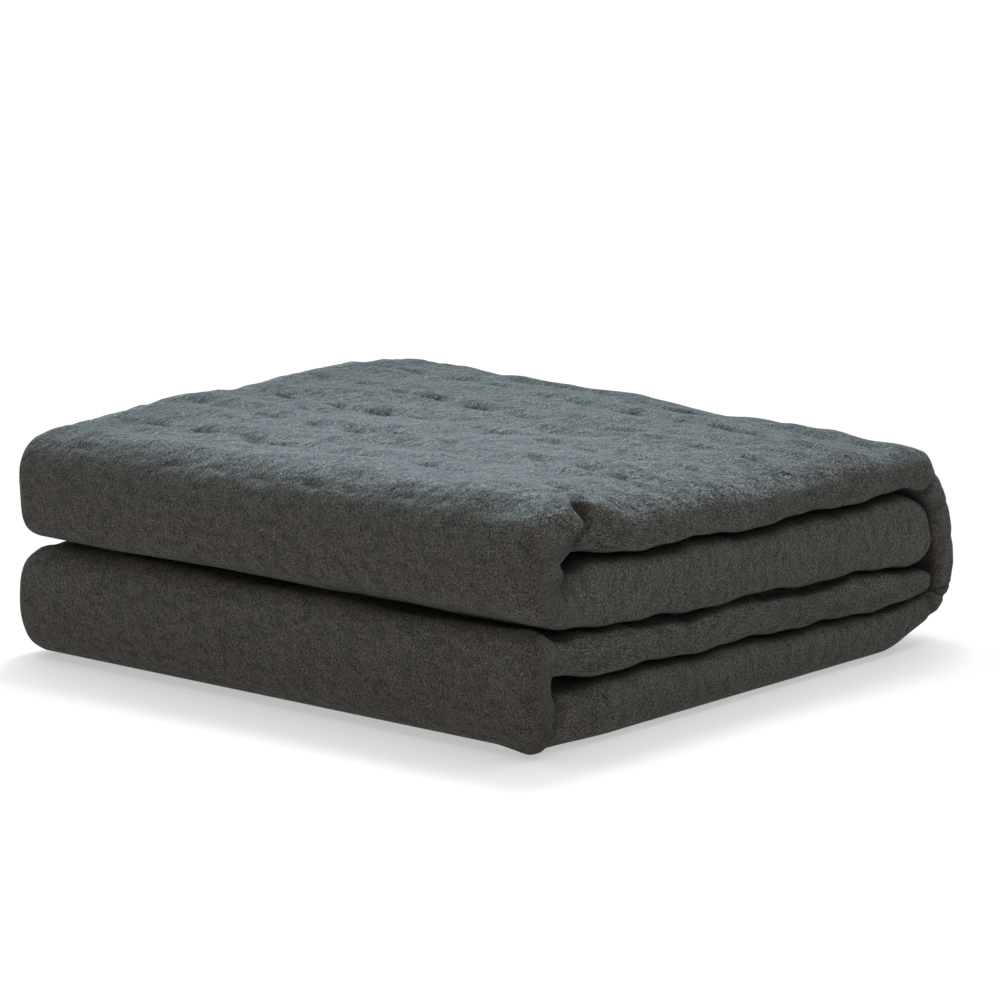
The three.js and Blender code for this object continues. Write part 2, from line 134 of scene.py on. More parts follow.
# There the middles of the front rolls are pinched forward: to where each one comes, up to where
# that reaches, and how steeply places move at the front and at the middle
PINCH_UPPER = 0.0335
PINCH_LOWER = 0.020
PINCH_UNTIL = 0.095
PINCH_FRONT_SLOPE = 0.8
PINCH_MIDDLE_SLOPE = 0.6
# The outermost layers are tucked in behind a crease, from just before it to just after it
TUCK_DEPTH = 0.0100
TUCK_BEFORE = 0.0006
TUCK_AFTER = 0.0020
# How much of the tuck is left after its narrow valley, and where that and the tuck end
TUCK_LEFT = 0.45
TUCK_VALLEY = 0.014
TUCK_END = 0.065
# Between which heights the tuck ends at the top, and how it fades at the outermost gaps
TUCK_TOP = (0.146, 0.155)
TUCK_EDGE = (-0.002, 0.004)
# The share of the tuck that goes on into the inner layer of a roll, and where that fades
TUCK_INSIDE = 0.35
TUCK_INSIDE_EDGE = (-0.024, -0.014)
# Where each crease would run if it were straight, as y from the front
UPPER_CREASE_Y = 0.030
LOWER_CREASE_Y = 0.0195
# Where it does run: heights from the floor, and y from the front at each
UPPER_CREASE = (
    (0.0970, 0.1029, 0.1086, 0.1136, 0.1166, 0.1233, 0.1282, 0.1334, 0.1371, 0.1403, 0.1460, 0.1520),
    (0.0270, 0.0260, 0.0320, 0.0297, 0.0275, 0.0365, 0.0390, 0.0402, 0.0510, 0.0518, 0.0470, 0.0465),
)
LOWER_CREASE = (
    (0.0040, 0.0105, 0.0225, 0.0340, 0.0430),
    (0.0175, 0.0178, 0.0196, 0.0224, 0.0205),
)
# From where to where the cloth follows a crease, and how far off the middle gap it does so fully
CRUMPLE_FROM = 0.006
CRUMPLE_TO = 0.105
CRUMPLE_SEAM = 0.015
# How far each gap opens behind the creases, and where that starts and ends along y
WEDGE = {"gap12": 0.0046, "gap23": 0.0016, "gap34": 0.0036}
WEDGE_STARTS = (0.012, 0.022)
WEDGE_ENDS = (0.036, 0.072)
# How near to a gap its two sides part, and over which distances from it that fades
WEDGE_EDGE = 0.0010
WEDGE_FADE = (0.004, 0.018)

# The right shoulder of the top layer droops: how far, over what width and in what bend, and
# the share of it at places back from the front
DROOP = 0.0125
DROOP_WIDTH = 0.072
DROOP_BEND = 2.4
DROOP_ALONG = (
    (0.0, 0.04, 0.10, 0.28, 0.33, 0.40, 0.446),
    (0.25, 0.35, 1.0, 1.0, 0.5, 0.1, 0.0),
)

# The side of the wrap leans in, most at its outside, between shares of its path
WRAP_LEAN = 0.002
WRAP_LEAN_STARTS = (0.12, 0.26)
WRAP_LEAN_ENDS = (0.70, 0.84)
LEAN_BEND = 1.5
# How much farther back the wrap stands: heights from the floor, and how far at each
WRAP_BELLY = (
    (0.000, 0.010, 0.016, 0.022, 0.052, 0.075, 0.105, 0.120, 0.132),
    (-0.020, -0.014, -0.008, -0.001, 0.006, 0.003, -0.006, -0.005, 0.003),
)
# From which y that starts, and how far from the back it is full
WRAP_BELLY_FROM = 0.35
WRAP_BELLY_FULL = 0.02

# The left side: each pair of layers is rounded as one, squarer where the two pairs meet
LEFT_REACH = 0.017
LEFT_OVER = 0.060
LEFT_SQUARENESS = 3
LEFT_SEAM_SQUARENESS = 5

# Rows of stitched dents: how far apart they are, where on the upper roll the first one lies, and
# how far past the end of that roll the next one does
ROW_PITCH = 0.064
FRONT_ROW_SHARE = 0.745
TOP_FIRST_ROW = 0.031
# Up to which share of the wrap there are rows
LAST_ROW_SHARE = 0.9

# How much coarser the layers are made whose outside doesn't show
HIDDEN_GRAIN = 1.35
# Spots where the path is made finer: shares of the upper roll, of the top layer, and the reach in
# metres to both sides of a row of dents
UPPER_ROLL_SPOTS = [(FRONT_ROW_SHARE, 0.06), (0.97, 0.08)]
TOP_START_SPOT = (0, 0.03)
ROW_SPOT = 0.006
# Spots where the side fold alone is made finer still
SIDE_SPOTS = {
    "upper roll": [(0, 2)],
    "top layer": [(0, 0.06)],
    "wrap": [(0.5, 0.4)],
    "lower roll": [(0, 0.5)],
}

QUARTER = math.pi / 2


def smooth(low, high, value):
    """0 up to low, 1 from high, and a soft step between."""
    t = np.clip((value - low) / (high - low), 0, 1)
    return t * t * (3 - 2 * t)


def mix(low, high, share):
    return low + (high - low) * share


def band(start, end, value):
    """0, a soft step up over the span start, 1, and a soft step down to 0 over the span end."""
    return smooth(*start, value) * (1 - smooth(*end, value))


def crease_at(upper, z):
    """Where the upper or the lower crease of the right side runs at heights z."""
    return np.where(upper, np.interp(z, *UPPER_CREASE), np.interp(z, *LOWER_CREASE))


def hermite(y0, h0, slope0, y1, h1, slope1, y):
    """A cubic through two heights with given slopes."""
    span = y1 - y0
    t = (y - y0) / span
    rise = h1 - h0
    a = slope0 * span - rise
    b = rise - slope1 * span
    return h0 + t * rise + t * (1 - t) * ((1 - t) * a + t * b)


def level_at(side, name, y):
    """The height of a gap or of the top at places y, along one side."""
    rows = LEVELS[side]
    ys = np.array([row.y for row in rows])
    heights = np.array([getattr(row, name) for row in rows])
    after = np.clip(np.searchsorted(ys, y), 1, len(rows) - 1)
    share = smooth(ys[after - 1], ys[after], y)
    height = mix(heights[after - 1], heights[after], share)
    for wave in WAVES[side]:
        if wave.level == name:
            height = height + wave.height * np.sin(math.tau * y / wave.length + wave.phase)
    return height


Crease = namedtuple("Crease", "at depth half")
# Puckers across the side fold of the wrap, as fractions of its path
WRAP_CREASES = [
    Crease(0.235, 0.0055, 0.030),
    Crease(0.37, 0.0022, 0.016),
    Crease(0.45, 0.0032, 0.018),
    Crease(0.60, 0.0020, 0.014),
    Crease(0.67, 0.0036, 0.020),
    Crease(0.765, 0.0055, 0.026),
]
# They are deepest at the inside of the wrap
CREASE_BEND = 3

Station = namedtuple("Station", "leg q thickness coarse side_only")
# One stretch of the strip's path, with how finely it is made. skin says whether its outside
# shows, bent whether it curves, and free which end of it is the strip's own end, if any.
# creases cross its side fold. spots are fractions of the path and half the length of each.
Leg = namedtuple(
    "Leg", "name path length step skin bent creases spots free", defaults=(False, (), (), "")
)


class FoldedStrip:
    """The folded blanket's shape: the path of the strip, and where its points lie."""

    def __init__(self, sizes):
        self.width = sizes.width
        self.depth = sizes.depth
        self.height = sizes.height
        self.ply = sizes.ply
        self.ply_gap = sizes.ply_gap
        self.pitch = self.ply + self.ply_gap
        self.strip = 4 * self.ply + 3 * self.ply_gap
        self.layer_pitch = (self.height - self.strip) / 3
        self.roll_radius = self.layer_pitch / 2
        self.roll_outer = self.roll_radius + self.strip / 2
        self.wrap_y = self.depth - WRAP_SQUEEZE * self.strip / 2
        self.top_end = self.wrap_y - WRAP_TOP_ALONG
        self.bottom_end = self.wrap_y - WRAP_BOTTOM_ALONG
        self.free_end_y = self.depth - WRAP_SQUEEZE * self.strip - FREE_END_GAP
        self.fold_x = self.width / 2 - SIDE_REACH
        self.first_fold_x = -self.width / 2 + self.pitch - self.ply_gap / 2
        self.legs = self.make_legs(sizes.grain)

    def layer_z(self, layer):
        return self.strip / 2 + (4 - layer) * self.layer_pitch

    def gap_z(self, layers_below):
        return self.strip / 2 + (layers_below - 0.5) * self.layer_pitch

    def right_share(self, x):
        return smooth(self.width / 2 - RIGHT_START, self.width / 2 - RIGHT_FULL, x)

    def flat_path(self, layer, from_y, to_y, free=False):
        """A level stretch; a free one tapers to the end of the strip."""
        z = self.layer_z(layer)
        up = 1 if to_y > from_y else -1

        def path(q):
            y = mix(from_y, to_y, q)
            squeeze = 1
            if free:
                inside = min((self.free_end_y - y) / TAPER_LENGTH, 1)
                squeeze = mix(TAPER_SQUEEZE, 1, math.sqrt(max(1 - (1 - inside) ** 2, 0)))
            return y, z, 0, up, squeeze, None

        return path

    def roll_path(self, lower_layer):
        """Half a turn round the front, from the upper layer to the lower one or back."""
        centre_z = self.layer_z(lower_layer) + self.roll_radius

        def path(q):
            angle = -math.pi * (0.5 + q)
            out_y = math.cos(angle)
            out_z = math.sin(angle)
            y = self.roll_outer + self.roll_radius * out_y
            return y, centre_z + self.roll_radius * out_z, out_y, out_z, 1, centre_z

        return path

    def wrap_path(self, q):
        """Round the back: an elliptic corner, a short straight, and another corner."""
        upper = max(1 - q / WRAP_CORNER_SHARE, 0)
        lower = max(1 - (1 - q) / WRAP_CORNER_SHARE, 0)
        along, up = (WRAP_TOP_ALONG, WRAP_TOP_UP) if q < 0.5 else (WRAP_BOTTOM_ALONG, WRAP_BOTTOM_UP)
        angle = (upper - lower) * QUARTER
        straight = min(max((q - WRAP_CORNER_SHARE) / (1 - 2 * WRAP_CORNER_SHARE), 0), 1)
        out_y = math.cos(angle) / along
        out_z = math.sin(angle) / up
        length = math.hypot(out_y, out_z)
        y = self.wrap_y - along + along * math.cos(angle)
        middle = mix(self.layer_z(1) - WRAP_TOP_UP, self.layer_z(4) + WRAP_BOTTOM_UP, straight)
        squeeze = mix(WRAP_SQUEEZE, 1, smooth(0, 1, max(upper, lower)))
        z = middle + up * math.sin(angle)
        return y, z, out_y / length, out_z / length, squeeze, None

    def make_legs(self, grain):
        """The legs, from the free end of the second layer to that of the third."""
        front = self.roll_outer
        roll_length = math.pi * front
        top_length = self.top_end - front
        free_length = self.free_end_y - front
        wrap_length = WRAP_TOP_ALONG + WRAP_BOTTOM_ALONG + self.height
        hidden_step = HIDDEN_GRAIN * grain
        second = self.flat_path(2, self.free_end_y, front, free=True)
        top = self.flat_path(1, front, self.top_end)
        bottom = self.flat_path(4, self.bottom_end, front)
        third = self.flat_path(3, front, self.free_end_y, free=True)
        rows = [(TOP_FIRST_ROW / top_length, ROW_SPOT / top_length)]
        while rows[-1][0] + ROW_PITCH / top_length < 1:
            rows.append((rows[-1][0] + ROW_PITCH / top_length, rows[0][1]))
        rows.append(TOP_START_SPOT)
        bent = dict(bent=True, skin=True)
        return [
            Leg("second layer", second, free_length, hidden_step, skin=False, free="start"),
            Leg("upper roll", self.roll_path(2), roll_length, grain, spots=UPPER_ROLL_SPOTS, **bent),
            Leg("top layer", top, top_length, grain, skin=True, spots=rows),
            Leg("wrap", self.wrap_path, wrap_length, grain, creases=WRAP_CREASES, **bent),
            Leg("bottom layer", bottom, self.bottom_end - front, hidden_step, skin=False),
            Leg("lower roll", self.roll_path(4), roll_length, grain, **bent),
            Leg("third layer", third, free_length, hidden_step, skin=False, free="end"),
        ]

    def square_roll(self, y, z, roll_z):
        """The squarish section of a front roll: outer points move out more than inner ones."""
        dy = y - self.roll_outer
        dz = z - roll_z
        radius = np.hypot(dy, dz)
        above, below = ROLL_SQUARENESS["upper" if roll_z > self.gap_z(2) else "lower"]
        power = np.where(dz > 0, above, below)
        full = (np.abs(dy / radius) ** power + np.abs(dz / radius) ** power) ** (-1 / power) - 1
        grow = 1 + full * (radius / self.roll_outer) ** 2
        return self.roll_outer + dy * grow, roll_z + dz * grow

    def shape_right(self, x, y, z):
        """Moves the rolls' middles forward at the right side, and tucks the outer layers in."""
        share = self.right_share(x)
        upper = z > self.gap_z(2)
        middle = np.where(upper, PINCH_UPPER, PINCH_LOWER)
        near = hermite(0, 0, PINCH_FRONT_SLOPE, self.roll_outer, middle, PINCH_MIDDLE_SLOPE, y)
        far = hermite(self.roll_outer, middle, PINCH_MIDDLE_SLOPE, PINCH_UNTIL, PINCH_UNTIL, 1, y)
        moved = np.where(y < self.roll_outer, near, far)
        y = np.where(y < PINCH_UNTIL, mix(y, moved, share), y)
        height = self.settle(x, y, z)
        behind = y - np.where(upper, UPPER_CREASE_Y, LOWER_CREASE_Y)
        tucked = band((-TUCK_BEFORE, TUCK_AFTER), (TUCK_VALLEY, TUCK_END), behind)
        tucked = tucked * mix(1, TUCK_LEFT, smooth(TUCK_AFTER, TUCK_VALLEY, behind))
        tucked = tucked * (1 - smooth(*TUCK_TOP, height))
        outside = np.where(upper, z - self.gap_z(3), self.gap_z(1) - z)
        inner = TUCK_INSIDE * smooth(*TUCK_INSIDE_EDGE, outside)
        deep = mix(inner, 1, smooth(*TUCK_EDGE, outside))
        return x - TUCK_DEPTH * tucked * deep * share, y

    def open_wedges(self, x, y, z):
        """Opens the gaps where they start behind the creases of the right side."""
        near = band(WEDGE_STARTS, WEDGE_ENDS, y) * self.right_share(x)
        for name, rise in WEDGE.items():
            away = z - level_at("right", name, y)
            fade = 1 - smooth(*WEDGE_FADE, np.abs(away))
            z = z + rise * near * np.tanh(away / WEDGE_EDGE) * fade
        return z

    def crumple(self, x, y, z):
        """Moves the creases of the right side from their straight lines to their real ones."""
        upper = z > self.gap_z(2)
        straight = np.where(upper, UPPER_CREASE_Y, LOWER_CREASE_Y)
        near = band((CRUMPLE_FROM, straight), (straight, CRUMPLE_TO), y)
        off_seam = smooth(0, CRUMPLE_SEAM, np.abs(z - self.gap_z(2)))
        return y + (crease_at(upper, z) - straight) * near * off_seam * self.right_share(x)

    def droop_right(self, x, y, z):
        """Lowers the right shoulder of the top layer."""
        low = level_at("right", "gap12", y)
        share = np.clip((z - low) / (level_at("right", "top", y) - low), 0, 1)
        edge = np.clip((x - self.width / 2 + DROOP_WIDTH) / DROOP_WIDTH, 0, 1)
        return z - DROOP * share * edge**DROOP_BEND * np.interp(y, *DROOP_ALONG)

    def fill_wrap(self, y, z):
        """Moves the wrap back or forward by its belly."""
        near_back = smooth(WRAP_BELLY_FROM, self.depth - WRAP_BELLY_FULL, y)
        return y + np.interp(z, *WRAP_BELLY) * near_back

    def soften_shoulder(self, x, v, soft):
        """Makes the outer half of the side fold rounder than its section."""
        share = np.clip(2 * v / self.strip, 0, 1)
        plain = (1 - share**SIDE_SQUARENESS) ** (1 / SIDE_SQUARENESS)
        rounder = (1 - share**SHOULDER_SQUARENESS) ** (1 / SHOULDER_SQUARENESS)
        ratio = rounder / np.maximum(plain, 1e-6)
        return np.where(x > self.fold_x, self.fold_x + (x - self.fold_x) * mix(1, ratio, soft), x)

    def round_left(self, x, z):
        """Rounds each pair of layers as one at the left side."""
        lower_layer = np.where(z > self.gap_z(2), 2, 4)
        pair_middle = self.layer_z(lower_layer) + self.roll_radius
        height = np.minimum(np.abs(z - pair_middle) / self.roll_outer, 1)
        upper_low = (lower_layer == 2) & (z < pair_middle)
        power = np.where(upper_low, LEFT_SEAM_SQUARENESS, LEFT_SQUARENESS)
        inward = LEFT_REACH * (1 - (1 - height**power) ** (1 / power))
        return x + inward * (1 - smooth(-self.width / 2, -self.width / 2 + LEFT_OVER, x))

    def settle(self, x, y, z):
        """Stretches or squeezes the layers to the heights in LEVELS."""
        side = np.clip(x / self.width + 0.5, 0, 1)
        plain = np.array([0, self.gap_z(1), self.gap_z(2), self.gap_z(3), self.height])
        settled = [np.zeros_like(y)]
        for name in ("gap34", "gap23", "gap12", "top"):
            settled.append(mix(level_at("left", name, y), level_at("right", name, y), side))
        settled = np.array(settled)
        layer = np.clip(np.searchsorted(plain, z) - 1, 0, 3)
        share = (z - plain[layer]) / (plain[layer + 1] - plain[layer])
        column = np.arange(len(z))
        return mix(settled[layer, column], settled[layer + 1, column], share)

    def points_at(self, station, x, v):
        """Points at x and v in the strip, at a station of its path."""
        leg, q = station.leg, station.q
        path_y, path_z, out_y, out_z, squeeze, roll_z = leg.path(q)
        if leg.creases:
            outward = np.clip(v / self.strip + 0.5, 0, 1)
            deepest = max([c.depth * (1 - abs(q - c.at) / c.half) for c in leg.creases] + [0])
            lean = WRAP_LEAN * band(WRAP_LEAN_STARTS, WRAP_LEAN_ENDS, q)
            inward = deepest * (1 - outward**CREASE_BEND) + lean * outward**LEAN_BEND
            x = x - self.right_share(x) * inward
        soft = max(out_z, 0) * smooth(self.gap_z(2), self.gap_z(3), path_z)
        soft += max(-out_z, 0) * smooth(self.gap_z(2), self.gap_z(1), path_z)
        x = self.soften_shoulder(x, v, soft)
        y = path_y + out_y * v * squeeze
        z = path_z + out_z * v * squeeze
        if roll_z is not None:
            y, z = self.square_roll(y, z, roll_z)
        x, y = self.shape_right(x, y, z)
        x = self.round_left(x, z)
        z = self.settle(x, y, z)
        y = self.fill_wrap(y, z)
        z = self.open_wedges(x, y, z)
        y = self.crumple(x, y, z)
        z = self.droop_right(x, y, z)
        return np.stack([x, y - self.depth / 2, z], axis=1)


# Which parts of the section show, and so are made finely
SKIN, SIDE, FIRST_FOLD, EDGE, INNER = "skin", "side", "first fold", "edge", "inner"
# Into how many parts each step of a fold is cut to space the side fold's columns evenly
FOLD_PARTS = 24
# How many steps each fold has: those that show, the free edges, and those that don't show
SIDE_FOLD_STEPS = 36
FIRST_FOLD_STEPS = 9
FREE_EDGE_STEPS = 4
HIDDEN_SIDE_STEPS = 6
HIDDEN_CORE_STEPS = 4
HIDDEN_FIRST_STEPS = 3
# Columns of the faces that don't show, as shares of the width
HIDDEN_SHARES = [0.03, 0.1, 0.3, 0.5, 0.7, 0.86, 0.94]


class Section:
    """The closed outline of the strip across its width, as columns of x and v.

    The strip is four plies of the cloth, A to D from its outside in. The outline starts at the
    free edge of ply C, goes along its upper face, round the inner fold to B, round the first
    fold to A, round the side fold to D, and back along the other faces.
    """

    def __init__(self, shape, thickness, columns):
        self.x, self.v, self.kind = [], [], []
        self.shape = shape
        pitch = shape.pitch
        half = shape.ply * thickness / 2
        slack = (shape.ply - 2 * half) / 2
        ply_v = {"A": 1.5 * pitch, "B": 0.5 * pitch, "C": -0.5 * pitch, "D": -1.5 * pitch}
        inner = pitch / 2
        fold_x, first_x = shape.fold_x, shape.first_fold_x
        left = -shape.width / 2
        outer = ply_v["A"] + half
        upward, downward = (-QUARTER, QUARTER), (QUARTER, -QUARTER)
        side = dict(squareness=SIDE_SQUARENESS)
        self.across(ply_v["C"] + half, True)
        self.fold(fold_x, 0, inner - half, inner - half, *upward, HIDDEN_CORE_STEPS, INNER)
        self.across(ply_v["B"] - half, False)
        self.add(first_x, ply_v["B"] - half, FIRST_FOLD)
        turn = (-QUARTER, -3 * QUARTER)
        self.fold(first_x, pitch, inner + half, inner + half, *turn, FIRST_FOLD_STEPS, FIRST_FOLD)
        for step in range(1, columns + 1):
            self.add(mix(first_x, fold_x, step / columns), outer, SKIN)
        self.fold(fold_x, 0, SIDE_REACH - slack, outer, *downward, SIDE_FOLD_STEPS, SIDE, **side)
        self.across(ply_v["D"] - half, False)
        self.free_edge(left + FREE_EDGE_D, ply_v["D"], half)
        self.across(ply_v["D"] + half, True)
        reach = SIDE_REACH - shape.ply + slack
        self.fold(fold_x, 0, reach, ply_v["A"] - half, *upward, HIDDEN_SIDE_STEPS, INNER, **side)
        self.across(ply_v["A"] - half, False)
        self.add(first_x, ply_v["A"] - half, INNER)
        turn = (QUARTER, 3 * QUARTER)
        self.fold(first_x, pitch, inner - half, inner - half, *turn, HIDDEN_FIRST_STEPS, INNER)
        self.across(ply_v["B"] + half, True)
        reach = SIDE_REACH - pitch - slack
        self.fold(fold_x, 0, reach, inner + half, *downward, HIDDEN_SIDE_STEPS, INNER, **side)
        self.across(ply_v["C"] - half, False)
        self.free_edge(left + FREE_EDGE_C, ply_v["C"], half)
        self.x = np.array(self.x)
        self.v = np.array(self.v)
        steps = np.hypot(self.x - np.roll(self.x, 1), self.v - np.roll(self.v, 1))
        steps[0] = 0
        self.along = np.cumsum(steps)

    def add(self, x, v, kind):
        self.x.append(x)
        self.v.append(v)
        self.kind.append(kind)

    def across(self, v, to_right):
        """Hidden columns over the whole width of a face."""
        shares = [*HIDDEN_SHARES, 1] if to_right else HIDDEN_SHARES[::-1]
        for share in shares:
            self.add(mix(self.shape.first_fold_x, self.shape.fold_x, share), v, INNER)

    def fold(self, x, v, reach, radius, from_angle, to_angle, steps, kind, squareness=2):
        """An arc round a fold, without its first point; reach is its size along X."""
        angles = np.linspace(from_angle, to_angle, FOLD_PARTS * steps + 1)
        cos, sin = np.cos(angles), np.sin(angles)
        xs = x + reach * np.sign(cos) * np.abs(cos) ** (2 / squareness)
        vs = v + radius * np.sign(sin) * np.abs(sin) ** (2 / squareness)
        place = np.arange(len(angles)) / FOLD_PARTS
        if kind == SIDE:
            place = np.concatenate([[0], np.cumsum(np.hypot(np.diff(xs), np.diff(vs)))])
        for share in np.linspace(0, place[-1], steps + 1)[1:]:
            self.add(float(np.interp(share, place, xs)), float(np.interp(share, place, vs)), kind)

    def free_edge(self, x, v, half):
        """The round edge of a ply, from its lower face to its upper one."""
        self.add(x + half, v - half, EDGE)
        self.fold(x + half, v, half, half, -QUARTER, -3 * QUARTER, FREE_EDGE_STEPS, EDGE)


# How many fine stations there are to each one that also carries the parts that don't show
ROUND_STRIDE = 4
FLAT_STRIDE = 10
# Where the side fold alone is finer, it has this many stations for each fine one
SIDE_STEPS = 3
# A spot fades out between these shares of its reach
SPOT_FADE = (1.6, 0.8)


def spread(spots, count):
    """Fractions from 0 to 1 in even steps, with steps half as long within each spot."""
    fine = np.linspace(0, 1, 2001)
    density = np.ones_like(fine)
    for centre, half in spots:
        density += smooth(half * SPOT_FADE[0], half * SPOT_FADE[1], np.abs(fine - centre))
    total = np.concatenate([[0], np.cumsum((density[1:] + density[:-1]) / 2)])
    return np.interp(np.linspace(0, total[-1], count + 1), total, fine)


def side_stations(leg, first, last):
    """Extra stations between two, for the side fold alone."""
    spots = SIDE_SPOTS.get(leg.name, ())
    if not any(abs((first + last) / 2 - centre) < half for centre, half in spots):
        return []
    shares = [step / SIDE_STEPS for step in range(1, SIDE_STEPS)]
    return [Station(leg, mix(first, last, share), 1, False, True) for share in shares]


def stations_of(shape):
    """Where the section is placed along the path, from one free end to the other."""
    stations = []
    for leg in shape.legs:
        stride = ROUND_STRIDE if leg.bent else FLAT_STRIDE
        share = sum(2 * half for centre, half in leg.spots)
        steps = leg.length / leg.step * (1 + share)
        count = max(1, round(steps / stride)) * stride
        ends = [(back / leg.length, thickness) for back, thickness in END_STATIONS]
        last_end = ends[-1][0]
        before = 0
        for k, q in enumerate(spread(leg.spots, count)):
            coarse = k % stride == 0
            if leg.free == "start" and q <= last_end:
                continue
            if leg.free == "end" and q >= 1 - last_end:
                continue
            if k > 0 or not stations:
                stations += side_stations(leg, before, q)
                stations.append(Station(leg, q, 1, coarse, False))
            before = q
        if leg.free == "start":
            stations[:0] = [Station(leg, q, thickness, True, False) for q, thickness in ends]
        if leg.free == "end":
            stations += [Station(leg, 1 - q, thickness, True, False) for q, thickness in reversed(ends)]
    return stations


# On the top the nap is brushed from front to back, so its pattern is drawn out there: along the
# path it has this share of its density, where the outside faces up by so much
BRUSHED = 0.42
BRUSHED_UP = (0.6, 1)
# How far the edges at the left side go in and out, over what length, and where that fades
RAGGED = 0.0035
RAGGED_LENGTH = 0.085
RAGGED_FADE = (0.01, 0.05)
# How far apart the plies' own drifts are in the noise
RAGGED_PLY_STEP = 7.3


class ClothMesh:
    """The folded cloth as one closed mesh, with the cloth's own coordinates at each vertex."""

    def __init__(self, shape, grain):
        self.shape = shape
        self.stations = stations_of(shape)
        self.columns = round((shape.fold_x - shape.first_fold_x) / grain)
        self.section = Section(shape, 1, self.columns)
        self.place_vertices()
        self.make_faces()

    def shows(self, kind, station):
        if station.side_only:
            return kind == SIDE
        return station.coarse or kind in (SIDE, EDGE, FIRST_FOLD) or (kind == SKIN and station.leg.skin)

    def place_vertices(self):
        kinds = self.section.kind
        self.index = np.full((len(self.stations), len(kinds)), -1)
        outside = self.shape.strip / 2
        spine = [self.shape.points_at(s, np.zeros(1), np.full(1, outside))[0] for s in self.stations]
        steps = np.linalg.norm(np.diff(spine, axis=0), axis=1)
        path = np.concatenate([[0], np.cumsum(steps)])
        self.station_path = path
        out_z = np.array([s.leg.path(s.q)[3] for s in self.stations])
        dense = mix(1, BRUSHED, smooth(*BRUSHED_UP, out_z))
        nap = np.concatenate([[0], np.cumsum(steps * (dense[1:] + dense[:-1]) / 2)])
        points, row_of, column_of = [], [], []
        for row, station in enumerate(self.stations):
            section = self.section
            if station.thickness != 1:
                section = Section(self.shape, station.thickness, self.columns)
            shown = [k for k, kind in enumerate(kinds) if self.shows(kind, station)]
            self.index[row, shown] = len(row_of) + np.arange(len(shown))
            x = ragged_left(section.x[shown], section.v[shown], path[row], self.shape)
            points.append(self.shape.points_at(station, x, section.v[shown]))
            row_of += [row] * len(shown)
            column_of += shown
        self.points = np.concatenate(points)
        self.row = np.array(row_of)
        self.column = np.array(column_of)
        self.path = path[self.row]
        self.nap_path = nap[self.row]
        self.kind = np.array(kinds)[self.column]
        self.leg = np.array([s.leg.name for s in self.stations])[self.row]
        self.cloth_x = self.section.x[self.column]

    def make_faces(self):
        """Four-sided faces, and many-sided ones where a fine column meets a coarse one."""
        self.faces = []
        for near, far in zip(self.index.T, np.roll(self.index, -1, axis=1).T):
            shared = np.flatnonzero((near >= 0) & (far >= 0))
            for first, last in zip(shared, shared[1:]):
                one = [int(i) for i in near[first : last + 1] if i >= 0]
                other = [int(i) for i in far[first : last + 1] if i >= 0]
                self.faces.append((one[0], *other, *one[:0:-1]))
        for row, turned in ((0, True), (len(self.stations) - 1, False)):
            self.close_end(row, turned)

    def close_end(self, row, turned):
        """The plane face at a free end of the strip."""
        thickness = self.stations[row].thickness
        section = Section(self.shape, thickness, self.columns)
        outline = [Vector((x, v, 0)) for x, v in zip(section.x, section.v)]
        for corners in tessellate_polygon([outline]):
            (ax, ay, _), (bx, by, _), (cx, cy, _) = (outline[c] for c in corners)
            clockwise = (bx - ax) * (cy - ay) - (by - ay) * (cx - ax) < 0
            corners = corners if clockwise != turned else corners[::-1]
            self.faces.append(tuple(int(self.index[row, c]) for c in corners))

    def build(self, name):
        mesh = bpy.data.meshes.new(name)
        mesh.from_pydata(self.points.tolist(), [], self.faces)
        mesh.shade_smooth()
        return mesh


def ragged_left(x, v, path, shape):
    """Moves the edges at the left side in and out a little, each ply its own way."""
    moved = np.zeros_like(x)
    for ply, (low, high) in enumerate(((-2, -1), (-1, 0), (0, 2))):
        here = (v > low * shape.pitch) & (v <= high * shape.pitch)
        drift = noise.noise(Vector((path / RAGGED_LENGTH, RAGGED_PLY_STEP * ply, 0.5)))
        moved[here] = RAGGED * drift
    left = -shape.width / 2
    near = 1 - smooth(left + RAGGED_FADE[0], left + RAGGED_FADE[1], x)
    return x + moved * near


# How far apart two seeds are in the noise
NOISE_STEP = 17.31


def noise_at(places, sizes, seed):
    """Soft noise between -1 and 1 at three rows of coordinates, its lumps as wide as sizes."""
    scaled = np.stack(np.broadcast_arrays(*places), axis=1) / sizes + seed * NOISE_STEP
    return np.array([noise.noise(Vector(point)) for point in scaled])


def hollow(distance, width):
    return np.exp(-((distance / width) ** 2))


# Quilting: rows of short stitched dents, the first along the upper curve of the upper roll
Dents = namedtuple("Dents", "width depth trough")
FRONT_DENTS = Dents(0.0026, 0.0012, 0.00042)
TOP_DENTS = Dents(0.0042, 0.0034, 0.0012)
DENT_SEED = 23
DENT_COLUMNS = 11
DENT_LENGTH = 0.0095
# How much the dents differ: their places along X and along the path, length, depth and slant
DENT_STRAY_X = 0.0035
DENT_STRAY_PATH = 0.0018
DENT_LENGTHS = (0.7, 1.35)
DENT_DEPTHS = (0.35, 1.2)
DENT_SLANT = 0.10
# A low lip to both sides of a dent: its height as a share of the dent's depth, and its place and
# width as shares of the dent's width
LIP_SHARE = 0.2
LIP_PLACE = 2.1
LIP_WIDTH = 1.2
# Each row lies in a trough, which wavers along X
ROW_TROUGH_WIDTH = 0.011
ROW_WAVER = 0.0022
ROW_WAVER_LENGTH = 0.031
ROW_WAVER_SHIFT = 2.1

# Puckers: their height, the sizes of their noise, and the place in it. The least share of them is
# left where the cloth doesn't face up.
Puckers = namedtuple("Puckers", "height sizes place seed")
PUCKERS = [Puckers(0.0010, (0.026, 0.0085, 1), 3.7, 1), Puckers(0.0028, (0.055, 0.021, 1), 9.1, 2)]
PUCKER_LEAST = 0.16
PUCKER_UP = (0.70, 0.98)
